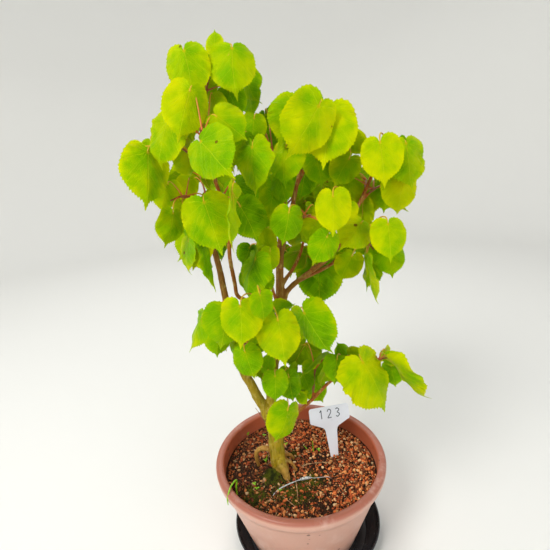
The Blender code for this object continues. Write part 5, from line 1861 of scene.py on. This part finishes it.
def saucer_material():
    made, tree, shader = material("black_plastic", 0.32)
    film = grouped(tree, WEATHERING, "Mask", Size=24.0, Amount=0.5, Streaks=0.15)
    specks = grouped(tree, SPECKLE, "Mask", Size=9.0, Share=0.2, Softness=0.3)
    lime = (times(tree, film, 0.22), SAUCER_LIME), (times(tree, specks, 0.4), SAUCER_LIME)
    skin = grouped(tree, MOULDED, "Height", Size=0.6, Waves=0.4)
    set_inputs(
        shader, Base_Color=coats(tree, SAUCER_BLACK, *lime), Normal=bump(tree, skin, 0.1, 0.2),
        Roughness=between(tree, film, 0.0, 1.0, 0.26, 0.5),
    )
    return made


saucer_points, saucer_faces = lathe(saucer_profile(), FINE_SIDES)
saucer_mesh = mesh_of("saucer", [p + SAUCER_CENTRE for p in saucer_points], saucer_faces)
piece("saucer_dish", saucer_mesh, saucer_material(), slot="saucer_plastic", instead_of=("saucer",))

# %% [markdown]
# Bonsai soil is a mix of crushed brick, pumice and baked clay, chips of 2 to 6 mm that let water through.
# From above one sees chips and the dark gaps between them. So a dark bed of fine crumbs lies a little below
# the surface, and thousands of chips are strewn on it. A chip is a lump of 20 or 80 triangles with its
# corners pushed in and out at random and some of its faces planed flat, which gives the broken edges that a
# sphere lacks.

# %% The bed under the chips
SOIL_MOUND, SOIL_MOUND_CENTRE, SOIL_MOUND_SPREAD, SOIL_GRAIN = 4.0, Vector((-24.0, -4.0)), 20.0, 0.6
SOIL_EDGE = 98.0
BED_BELOW = 1.6
HEAP, HEAP_CENTRE, HEAP_SPREAD = 8.0, Vector((-39.0, -18.0)), 7.5


def soil_lift(point):
    """How far the soil's surface stands off its level, by the solids' own formula."""
    away = (Vector((point[0], point[1])) - SOIL_MOUND_CENTRE).length
    mound = SOIL_MOUND * math.exp(-((away / SOIL_MOUND_SPREAD) ** 2) / 2)
    grain = math.sin(point[0] * 0.61 + 1) * math.sin(point[1] * 0.53)
    grain += math.sin(point[0] * 0.23 - point[1] * 0.31)
    radius = math.hypot(point[0], point[1])
    return mound + SOIL_GRAIN * grain * clamp((SOIL_EDGE - radius) / 12)


def ground_lift(point):
    """The soil's surface with the mossy humus that is heaped against the foot of the trunk."""
    away = (Vector((point[0], point[1])) - HEAP_CENTRE).length / HEAP_SPREAD
    return soil_lift(point) + HEAP * math.exp(-away * away / 2)


def bed_lift(point):
    if point.z < SOIL_LEVEL - BED_BELOW - 0.5:
        return 0.0
    return ground_lift(point) + noise.fractal(point * 0.28, 1.0, 2.2, 3) * 0.9


BED_TOP = SOIL_LEVEL - BED_BELOW
BED_FOOT, BED_FOOT_RADIUS, BED_RADIUS = 10.2, 78.0, 104.9
BED_RINGS, BED_RING_STEP, BED_SIDES = 33, 3.0, 120
bed_radii = [BED_RADIUS, *[102.0 - BED_RING_STEP * k for k in range(BED_RINGS)], BED_RING_STEP, 0]
bed_wall = [(0, BED_FOOT), (BED_FOOT_RADIUS, BED_FOOT), (BED_RADIUS - 0.2, SOIL_LEVEL - 6)]
bed_profile = bed_wall + [(radius, BED_TOP) for radius in bed_radii]
bed_mesh = mesh_of("bed", *lathe(bed_profile, BED_SIDES, bed_lift))

HUMUS_DARK = srgb(30, 18, 12)
HUMUS_LIGHT = srgb(84, 54, 34)


def humus_material():
    made, tree, shader = material("dark_humus", 0.95)
    crumbs = noise_of(tree, 1.3, 5.0, 0.7)
    colour = coats(tree, HUMUS_DARK, (between(tree, crumbs, 0.42, 0.68), HUMUS_LIGHT))
    set_inputs(shader, Base_Color=colour, Normal=bump(tree, crumbs, 0.9, 1.2), Specular_IOR_Level=0.15)
    return made


piece("soil_bed", bed_mesh, humus_material(), slot="soil", instead_of=("soil",))

# %% Chips of brick, clay and pumice
CHIPS, CRUMBS = 1900, 5200
PATCHES = (  # where humus shows between the chips: across, back, reach and the share of chips missing
    (-4, -52, 30, 0.85), (-60, -44, 32, 0.8), (-84, -4, 26, 0.8), (20, -24, 22, 0.9), (-18, 24, 18, 0.8),
    (14, -68, 20, 0.8), (26, 14, 20, 0.85),
)
DARK_SIDE, PALE_SIDE = -70.0, 10.0  # from where to where across the pot the chips grow paler
CHIP_FLATS = 7  # planed off each lump
CHIP_TILT = 0.8
CHIP_REACH = 1.95  # how far a chip reaches from its middle, in its own sizes
STREWN_RADIUS, CHIP_ROOM = 103.0, 104.6  # for the middle of a chip, and for all of it


# %% Broken lumps and where they lie
def stone_shapes(rng, count, rounds):
    """Broken lumps of about unit size, each as points and triangles."""
    shapes = []
    for _ in range(count):
        work = bmesh.new()
        bmesh.ops.create_icosphere(work, subdivisions=rounds, radius=1.0)
        seed = Vector((rng.uniform(0, 90), rng.uniform(0, 90), 0))
        planes = []
        for _ in range(CHIP_FLATS):
            way = Vector((rng.gauss(0, 1), rng.gauss(0, 1), rng.gauss(0, 1))).normalized()
            planes.append((way, rng.uniform(0.55, 0.85)))
        for vertex in work.verts:
            vertex.co *= 1 + 0.25 * noise.noise(vertex.co * 1.3 + seed)
            for way, reach in planes:
                over = vertex.co.dot(way) - reach
                if over > 0:
                    vertex.co -= way * over
        work.verts.index_update()
        triangles = [tuple(vertex.index for vertex in face.verts) for face in work.faces]
        shapes.append(([vertex.co.copy() for vertex in work.verts], triangles))
        work.free()
    return shapes


def keep_clear():
    """Places that no chip may cover: (centre, radius)."""
    feet = [(TRUNK_FOOT.xy, TRUNK_FOOT_RADIUS)]
    for root in ROOTS:
        places = zip(*smooth_route(root.route, root.radii, 5))
        feet += [(place.xy, radius + 0.5) for place, radius in places if place.z < 110]
    return feet


def missing(place):
    """The share of chips that is missing at a place."""
    return max(
        share * math.exp(-(((place - Vector((x, y))).length / reach) ** 2)) for x, y, reach, share in PATCHES
    )


def strewn(rng, count, reach, clear):
    """Places on the soil at random, fewer on its bare patches."""
    while count:
        angle, radius = rng.uniform(0, math.tau), reach * math.sqrt(rng.random())
        place = Vector((radius * math.cos(angle), radius * math.sin(angle)))
        if rng.random() > missing(place) and all((place - centre).length > size for centre, size in clear):
            count -= 1
            yield place


def chip_mesh(name, rng, count, shapes, sizes, clear):
    points, faces, tints = [], [], []
    for place in strewn(rng, count, STREWN_RADIUS, clear):
        size = rng.choice(sizes)
        stretch = Vector((rng.uniform(1.0, 1.6), rng.uniform(0.8, 1.05), rng.uniform(0.65, 0.95)))
        turn = Matrix.Rotation(rng.uniform(0, math.tau), 3, "Z")
        for axis in "XY":
            turn = turn @ Matrix.Rotation(rng.uniform(-CHIP_TILT, CHIP_TILT), 3, axis)
        room = CHIP_ROOM - size * CHIP_REACH
        if place.length > room:
            place *= room / place.length
        height = BED_TOP + soil_lift(place) + rng.uniform(0.1, 1.0) * size
        centre = Vector((place.x, place.y, height))
        shape, tris = rng.choice(shapes)
        start = len(points)
        points += [centre + turn @ Vector(c * s * size for c, s in zip(corner, stretch)) for corner in shape]
        faces += [tuple(k + start for k in tri) for tri in tris]
        # chips grow darker towards the left of the pot
        darkening = clamp((PALE_SIDE - place.x) / (PALE_SIDE - DARK_SIDE))
        tints += [(rng.random(), rng.random(), darkening)] * len(shape)
    mesh = mesh_of(name, points, faces, 28)
    carry(mesh, "chip", tints)
    return mesh


# %% The chips' colours
CHIP_COLOURS = (
    (0.00, srgb(166, 62, 28)),
    (0.20, srgb(214, 102, 44)),
    (0.38, srgb(232, 138, 72)),
    (0.50, srgb(238, 170, 104)),
    (0.60, srgb(242, 208, 156)),
    (0.66, srgb(150, 80, 40)),
    (0.84, srgb(84, 40, 20)),
    (1.00, srgb(194, 80, 32)),
)
CHIP_GRAIN = srgb(236, 178, 138)


def chip_material():
    made, tree, shader = material("crushed_brick", 0.9)
    tint, shade, side_dark = parts_of(tree, attribute(tree, "chip"))
    ramp = node(tree, "ValToRGB", Fac=tint)
    elements = ramp.color_ramp.elements
    while len(elements) < len(CHIP_COLOURS):
        elements.new(0.5)
    for element, (place, colour) in zip(elements, CHIP_COLOURS):
        element.position, element.color = place, colour
    grain = noise_of(tree, 0.7, 4.0, 0.7)
    light = between(tree, grain, 0.4, 0.75, 0.0, 0.3)
    # chips darker towards the left of the pot, and some at random
    darkening = calc(tree, "MULTIPLY_ADD", side_dark, 0.45, times(tree, between(tree, shade, 0.45, 1.0), 0.5))
    colour = coats(tree, ramp.outputs[0], (light, CHIP_GRAIN), (darkening, HUMUS_DARK))
    set_inputs(shader, Base_Color=colour, Normal=bump(tree, grain, 0.7, 0.5), Specular_IOR_Level=0.15)
    return made


chip_rng = random.Random(SEED + 2)
chip_skin = chip_material()
chip_shapes, crumb_shapes = stone_shapes(chip_rng, 14, 2), stone_shapes(chip_rng, 8, 1)
for name, count, shapes, sizes in (
    ("soil_chips", CHIPS, chip_shapes, (1.2, 1.5, 1.8, 2.2)),
    ("soil_crumbs", CRUMBS, crumb_shapes, (0.6, 0.8, 1.0, 1.2)),
):
    piece(name, chip_mesh(name, chip_rng, count, shapes, sizes, keep_clear()), chip_skin, slot="soil")
print("chips:", CHIPS, "crumbs:", CRUMBS)

# %% [markdown]
# A pot that has stood outdoors is a small garden. Moss creeps over the damp humus in front of the roots,
# weeds have sprouted, and thin roots that were washed free lie over the chips. Each is geometry, because
# all of it casts shadows: moss is thousands of small spikes, a sprout is a few bent lenses on a stalk, a
# rootlet is a thin tube that follows the soil. Their places are pixels of the photograph, carried down to
# the soil's surface.

# %% Small things on the soil
def on_soil(column, row, above=1.0):
    """The place on the soil that a pixel shows."""
    ray = sight(column, row)
    place = PHOTO_EYE + ray * ((SOIL_LEVEL - PHOTO_EYE.z) / ray.z)
    return Vector((place.x, place.y, SOIL_LEVEL + soil_lift(place) + above))


LENS_POINTS = 10
LENS_HALF = 0.12  # half of its thickness


def lens(centre, turn, long, wide, bend):
    """A small oval leaf as a closed lens whose rim hangs down."""
    n = LENS_POINTS
    angles = [math.tau * k / n for k in range(n)]
    rim = [(long * math.cos(angle), wide * math.sin(angle)) for angle in angles]
    points = [Vector((x, y, -bend * (x * x + y * y) / long)) for x, y in rim]
    points += [Vector((0, 0, LENS_HALF)), Vector((0, 0, -LENS_HALF))]
    faces = [(k, (k + 1) % n, n) for k in range(n)] + [((k + 1) % n, k, n + 1) for k in range(n)]
    return [centre + turn @ p for p in points], faces


def laid(points, radius, sides=6):
    """A thin tube through points, thinner towards its end."""
    route, sizes = smooth_route(points, [radius] + [radius * 0.8] * (len(points) - 2) + [radius * 0.35], 6)
    return tube(route, sizes, sides)


MOSS_EDGE = 102
SPIKE_RADIUS, SPIKE_LEAN, SPIKE_HEIGHTS = 0.4, 0.8, (1.2, 3.0)


def spikes(rng, count, centre, spread):
    """Moss: spikes of three sides, leaning at random."""
    points, faces = [], []
    while count:
        place = Vector((rng.gauss(centre[0], spread[0]), rng.gauss(centre[1], spread[1])))
        if place.length > MOSS_EDGE:
            continue
        count -= 1
        foot = Vector((*place, BED_TOP + ground_lift(place) - 0.2))
        start = len(points)
        for k in range(3):
            turn = k * math.tau / 3
            points.append(foot + Vector((SPIKE_RADIUS * math.cos(turn), SPIKE_RADIUS * math.sin(turn), 0)))
        lean = [rng.uniform(-SPIKE_LEAN, SPIKE_LEAN) for _ in "xy"]
        points.append(foot + Vector((*lean, rng.uniform(*SPIKE_HEIGHTS))))
        faces += [tuple(start + k for k in face) for face in ((0, 1, 3), (1, 2, 3), (2, 0, 3), (2, 1, 0))]
    return points, faces


ROOTLETS = (  # radius, and the pixels it passes
    (0.75, ((276, 464), (279, 469), (284, 477), (292.9, 488))),
    (0.85, ((293, 468), (295.5, 480), (297, 490), (298, 501))),
    (0.8, ((302, 468), (309, 465), (318, 463), (333, 462))),
    (0.9, ((267, 467), (271, 464.5), (275, 465), (274, 469))),
    (0.6, ((283, 497), (289, 502), (296, 508))),
    (0.6, ((268, 446), (269, 455), (268.5, 464))),
    (0.7, ((284, 452), (290, 456), (293, 462))),
)
DEAD_TWIGS = (  # pixels and how far in front of the pot's axis, from the trunk outwards
    (0.8, ((270, 428, 8), (266, 423.5, 10), (262, 417, 12), (255.5, 408, 14))),
    (0.7, ((287, 417, 8), (294, 409, 2), (299, 404, 0), (303, 399.5, -2))),
)
SPROUTS = (
    (247.5, 435.5), (264, 437), (254.5, 486.5), (257, 489.5), (280, 493), (265.5, 462), (318.5, 451),
    (286, 446),
)
SPROUT_RADIUS, SPROUT_HEIGHT, SPROUT_SIZES = 0.4, 3.2, (1.3, 2.1)
BLADES = (  # pixel of the foot, then how far the tip is across, back and up
    ((313.5, 452), (-1, 2, 17)), ((307, 449), (-5, 0, 7)), ((266, 463), (3, 1, 13)),
)
LONG_BLADE = (  # one that leans on the pot's rim and hangs over it: its foot's pixel, then the way it goes
    (237, 495), (0, 1, 10), (1, 2, 21), (-3, -8, 25), (-6, -16, 24), (-9, -21, 15), (-9, -22, 6),
)
MOSS = (  # how many spikes, round which place, and how far they spread
    (3000, (-12, -46), (14, 12)), (1700, (-64, -50), (10, 9)), (1900, (-41, -20), (7, 7)),
    (800, (16, -26), (8, 7)), (500, (-10, 22), (6, 5)),
)
BLADE_RADIUS, LONG_RADIUS = 0.75, 1.3  # of the grass
FALLEN_LEAF = (265.5, 481)

small_things = random.Random(SEED + 4)
litter = [laid([on_soil(*place) for place in places], radius) for radius, places in ROOTLETS]
litter += [laid([seen_at(*place) for place in places], radius) for radius, places in DEAD_TWIGS]
fallen = Matrix.Rotation(1.1, 3, "Z") @ Matrix.Rotation(0.7, 3, "X")
litter.append(lens(on_soil(*FALLEN_LEAF, 2.4), fallen, 5.5, 2.6, 0.7))
green = []
for pixel, tip in BLADES:
    foot = on_soil(*pixel)
    green.append(laid([foot, foot + Vector(tip) * 0.6, foot + Vector(tip)], BLADE_RADIUS, 5))
foot = on_soil(*LONG_BLADE[0])
green.append(laid([foot, *(foot + Vector(way) for way in LONG_BLADE[1:])], LONG_RADIUS, 5))
for place in SPROUTS:
    foot = on_soil(*place)
    stalk = [foot, foot + Vector((0.2, 0, SPROUT_HEIGHT / 2)), foot + Vector((0.3, 0, SPROUT_HEIGHT))]
    green.append(laid(stalk, SPROUT_RADIUS, 5))
    for k in range(small_things.choice((2, 3, 4))):
        turn = Matrix.Rotation(k * 2.2 + small_things.random(), 3, "Z")
        size = small_things.uniform(*SPROUT_SIZES)
        centre = foot + turn @ Vector((size, 0, SPROUT_HEIGHT))
        green.append(lens(centre, turn @ Matrix.Rotation(-0.3, 3, "Y"), size, size * 0.6, 0.25))


def tinted(name, low, high, size, roughness):
    """A plain organic finish: two colours in soft clouds, with a little relief."""
    made, tree, shader = material(name, roughness)
    cloud = between(tree, noise_of(tree, size, 4.0), 0.35, 0.65)
    relief = bump(tree, noise_of(tree, size / 4, 3.0), 0.4, 0.2)
    set_inputs(shader, Base_Color=coats(tree, low, (cloud, high)), Normal=relief)
    return made


root_skin = tinted("washed_root", srgb(122, 84, 50), srgb(206, 166, 118), 5.0, 0.7)
sprout_skin = tinted("sprout", srgb(96, 170, 10), srgb(158, 206, 20), 3.0, 0.5)
moss_skin = tinted("moss", srgb(50, 60, 6), srgb(118, 124, 12), 9.0, 0.9)
piece("rootlets_and_dead_twigs", mesh_of("litter", *joined(*litter)), root_skin, slot="bark")
piece("sprouts_and_grass", mesh_of("green", *joined(*green)), sprout_skin, slot="moss")
moss_mesh = mesh_of("moss", *joined(*(spikes(small_things, *patch) for patch in MOSS)))
piece("moss_by_the_roots", moss_mesh, moss_skin, slot="moss")
print("rootlets:", len(ROOTLETS), "sprouts:", len(SPROUTS), "moss spikes:", sum(patch[0] for patch in MOSS))

# %% [markdown]
# The plant label is a T of white plastic pushed into the soil beside the trunk. Its corners are round and
# its edges soft, so a bevel on an extruded outline is the plain way to make it. Growers number their labels
# in pen, so it carries plain figures, as thin strokes of ink that lie on the plastic.

# %% The label
LABEL_WIDTH, LABEL_LENGTH, LABEL_SIDE, LABEL_SHOULDER = 60.0, 100.0, 23.0, 30.0
LABEL_STEM_TOP, LABEL_STEM_FOOT, LABEL_THICKNESS = 17.0, 7.5, 1.2
LABEL_FOOT = Vector((50.5, 17.0, SOIL_LEVEL))
LABEL_BURIED, LABEL_LEAN_BACK, LABEL_TURN = 30.0, 20.0, 11.0
LABEL_CORNER = 4.0
LABEL_EDGE = 0.35  # how far its edges are rounded


def label_place():
    lean = Matrix.Rotation(math.radians(-LABEL_LEAN_BACK), 4, "X")
    turn = Matrix.Rotation(math.radians(LABEL_TURN), 4, "Z")
    upright = Matrix.Rotation(math.radians(90), 4, "X")
    return Matrix.Translation(LABEL_FOOT) @ turn @ lean @ Matrix.Translation((0, 0, -LABEL_BURIED)) @ upright


def label_outline():
    """The label's outline in its own plane, its foot's tip at the origin and its head up."""
    half = LABEL_WIDTH / 2
    side_low = LABEL_LENGTH - LABEL_SIDE
    neck, corner = LABEL_LENGTH - LABEL_SHOULDER, LABEL_CORNER
    right = [
        (LABEL_STEM_FOOT / 2 - 1.5, 0.0),
        (LABEL_STEM_FOOT / 2, 5.0),
        (LABEL_STEM_TOP / 2, neck - 7),
        (LABEL_STEM_TOP / 2 + 0.4, neck - 4.2),
        (LABEL_STEM_TOP / 2 + 1.4, neck - 1.8),
        (LABEL_STEM_TOP / 2 + 3.4, neck + 0.4),
        (half - corner, side_low),
        *arc((half - corner + 0.2, side_low + corner - 0.2), corner - 0.2, -60, 0, 4),
        *arc((half - corner, LABEL_LENGTH - corner), corner, 0, 90, 6),
    ]
    return right + [(-x, y) for x, y in reversed(right)]


def label_mesh():
    outline = label_outline()
    half = LABEL_THICKNESS / 2
    n = len(outline)
    points = [(x, y, half) for x, y in outline] + [(x, y, -half) for x, y in outline]
    faces = [tuple(range(n)), tuple(reversed(range(n, 2 * n)))]
    faces += [(k, n + k, n + (k + 1) % n, (k + 1) % n) for k in range(n)]
    place = label_place()
    mesh = mesh_of("label", [place @ Vector(p) for p in points], faces)
    work = bmesh.new()
    work.from_mesh(mesh)
    rims = [e for e in work.edges if len(e.link_faces) == 2 and e.calc_face_angle() > math.radians(60)]
    bmesh.ops.bevel(work, geom=rims, offset=LABEL_EDGE * MM, segments=3, profile=0.5, affect="EDGES")
    work.to_mesh(mesh)
    work.free()
    mesh.shade_smooth()
    mesh.set_sharp_from_angle(angle=math.radians(40))
    return mesh


LABEL_WHITE = srgb(240, 244, 255)
LABEL_SOILED = srgb(168, 150, 128)
INK = srgb(16, 42, 64)


def label_material():
    made, tree, shader = material("white_plastic", 0.4)
    height = parts_of(tree, millimetres(tree))[2]
    low = between(tree, height, SOIL_LEVEL + 26, SOIL_LEVEL, 0.0, 0.55)
    film = grouped(tree, WEATHERING, "Mask", Size=14.0, Amount=0.5, Streaks=0.5)
    specks = grouped(tree, SPECKLE, "Mask", Size=7.0, Share=0.3, Softness=0.3)
    dirt = calc(tree, "MULTIPLY_ADD", film, 0.05, times(tree, low, film))
    dirt = calc(tree, "MAXIMUM", dirt, times(tree, specks, calc(tree, "ADD", low, 0.08)))
    skin = grouped(tree, MOULDED, "Height", Size=0.5, Waves=0.6)
    set_inputs(
        shader, Base_Color=coats(tree, LABEL_WHITE, (dirt, LABEL_SOILED)),
        Normal=bump(tree, skin, 0.1, 0.15), Roughness=between(tree, film, 0.0, 1.0, 0.34, 0.55),
    )
    return made


piece("label_plate", label_mesh(), label_material(), slot="label_plastic", instead_of=("plant_label",))

# %% The figures
FIGURE_HEIGHT = 12.0
FIGURE_WIDTH = 6.5
FIGURE_PITCH = 12.5
INK_WIDTH = 1.2
INK_THICKNESS = 0.12
STROKES = {  # pen strokes in a box 1 wide and 1 high
    "1": (((0.25, 0.78), (0.55, 1.0), (0.55, 0.5), (0.55, 0.0)),),
    "2": (
        ((0.08, 0.76), (0.30, 0.98), (0.70, 0.98), (0.88, 0.72), (0.55, 0.38), (0.08, 0.02), (0.92, 0.02)),
    ),
    "3": (
        ((0.10, 0.90), (0.50, 1.0), (0.86, 0.78), (0.45, 0.53), (0.90, 0.28), (0.50, 0.0), (0.08, 0.12)),
    ),
}
LABEL_FIGURES = "123"


def ribbon(points, width, thick):
    """A flat closed stroke along points in a plane, as points and faces."""
    vertices, faces = [], []
    for k, point in enumerate(points):
        ahead = heading(points, k)
        side = Vector((-ahead.y, ahead.x, 0)) * (width / 2)
        up = Vector((0, 0, thick))
        vertices += [point - side, point + side, point + side + up, point - side + up]
    for k in range(len(points) - 1):
        for side in range(4):
            a, b = 4 * k + side, 4 * k + (side + 1) % 4
            faces.append((a, b, b + 4, a + 4))
    last = len(vertices) - 4
    faces += [(3, 2, 1, 0), (last, last + 1, last + 2, last + 3)]
    return vertices, faces


def figure_parts():
    middle = LABEL_LENGTH - LABEL_SIDE / 2 + 1.0
    parts = []
    for k, figure in enumerate(LABEL_FIGURES):
        left = (k - (len(LABEL_FIGURES) - 1) / 2) * FIGURE_PITCH - FIGURE_WIDTH / 2
        for stroke in STROKES[figure]:
            corners = [
                Vector((left + x * FIGURE_WIDTH, middle + (y - 0.5) * FIGURE_HEIGHT, LABEL_THICKNESS / 2))
                for x, y in stroke
            ]
            route = smooth_route(corners, [0] * len(corners), 6)[0]
            parts.append(ribbon(route, INK_WIDTH, INK_THICKNESS))
    vertices, faces = joined(*parts)
    place = label_place()
    return [place @ v for v in vertices], faces


def ink_material():
    made, tree, shader = material("marker_ink", 0.5)
    worn = between(tree, noise_of(tree, 1.2, 4.0, 0.7), 0.5, 0.75, 0.0, 0.5)
    set_inputs(shader, Base_Color=coats(tree, INK, (worn, LABEL_WHITE)))
    return made


piece("label_figures", mesh_of("figures", *figure_parts()), ink_material(), slot="label_plastic")

# %% [markdown]
# A length of soft tie wire lies in front of the roots. It comes out of the soil doubled, its strands are
# twisted together in a knot in the middle, and one goes on alone. Both follow the same route on a small
# circle round it, a tight helix at the knot and almost straight elsewhere.

# %% The tie wire
STRAND_RADIUS = 0.4
STRAND_APART = 0.42
KNOT_TURNS = 2.4
KNOT_SWELL = 2.6  # how much further apart the strands lie there, as a share
KNOT_THICKER = 1.1  # and how much thicker they are
WIRE_TWIST = 0.015  # by which they turn at each step, away from the knot
WIRE_WHITE, WIRE_DULL = srgb(222, 226, 226), srgb(156, 154, 142)
WIRE_STEPS = 48  # between two points of the route
KNOT_REACH = 20  # half of the knot's length, in steps
WIRE_HEIGHT = SOIL_LEVEL + 0.9 + 1.4
WIRE_CROSSING = ((-28, -41), (-12, -34), (4, -27.5), (20, -26.5), (32, -26))
WIRE_START, WIRE_END = ((-43, -50.5, 97), (-36, -46, 103.4)), ((37, -25.8, 103.4), (43, -25.6, 97))


def wire_strand(phase, whole):
    """One strand, as points and faces. It goes the whole way or ends at the knot."""
    crossing = [(x, y, WIRE_HEIGHT + soil_lift((x, y))) for x, y in WIRE_CROSSING]
    points = [*WIRE_START, *crossing, *WIRE_END]
    route = smooth_route(points, [0] * len(points), WIRE_STEPS)[0]
    middle = len(route) / 2
    strand, sizes = [], []
    for k, place in enumerate(route if whole else route[: int(middle) + KNOT_REACH + 6]):
        ahead = heading(route, k)
        side = ahead.cross(Vector((0, 0.2, 1))).normalized()
        up = side.cross(ahead)
        near = math.exp(-(((k - middle) / KNOT_REACH) ** 4))
        turn = phase + math.tau * KNOT_TURNS * math.tanh((k - middle) / KNOT_REACH) + k * WIRE_TWIST
        reach = STRAND_APART * (1 + KNOT_SWELL * near)
        strand.append(place + side * math.cos(turn) * reach + up * math.sin(turn) * reach)
        sizes.append(STRAND_RADIUS * (1 + KNOT_THICKER * near))
    return tube(strand, sizes, 8)


def wire_material():
    made, tree, shader = material("zinc_wire", 0.36)
    dull = noise_of(tree, 2.2, 4.0, 0.65)
    colour = coats(tree, WIRE_WHITE, (between(tree, dull, 0.45, 0.7), WIRE_DULL))
    set_inputs(
        shader, Base_Color=colour, Normal=bump(tree, dull, 0.2, 0.15),
        Roughness=between(tree, dull, 0.4, 0.7, 0.28, 0.6), Metallic=0.6,
    )
    return made


wire_mesh = mesh_of("wire", *joined(wire_strand(0.0, True), wire_strand(math.pi, False)))
piece("twisted_tie_wire", wire_mesh, wire_material(), slot="tie_wire", instead_of=("tie_wire",))

# %% Sizes, and the end
shown_low, shown_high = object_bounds()
sizes = {"cad": [list(cad_low), list(cad_high)], "visual": [list(shown_low), list(shown_high)]}
print("box of the solids:", [round(v, 4) for v in (*cad_low, *cad_high)])
print("box of the looks: ", [round(v, 4) for v in (*shown_low, *shown_high)])
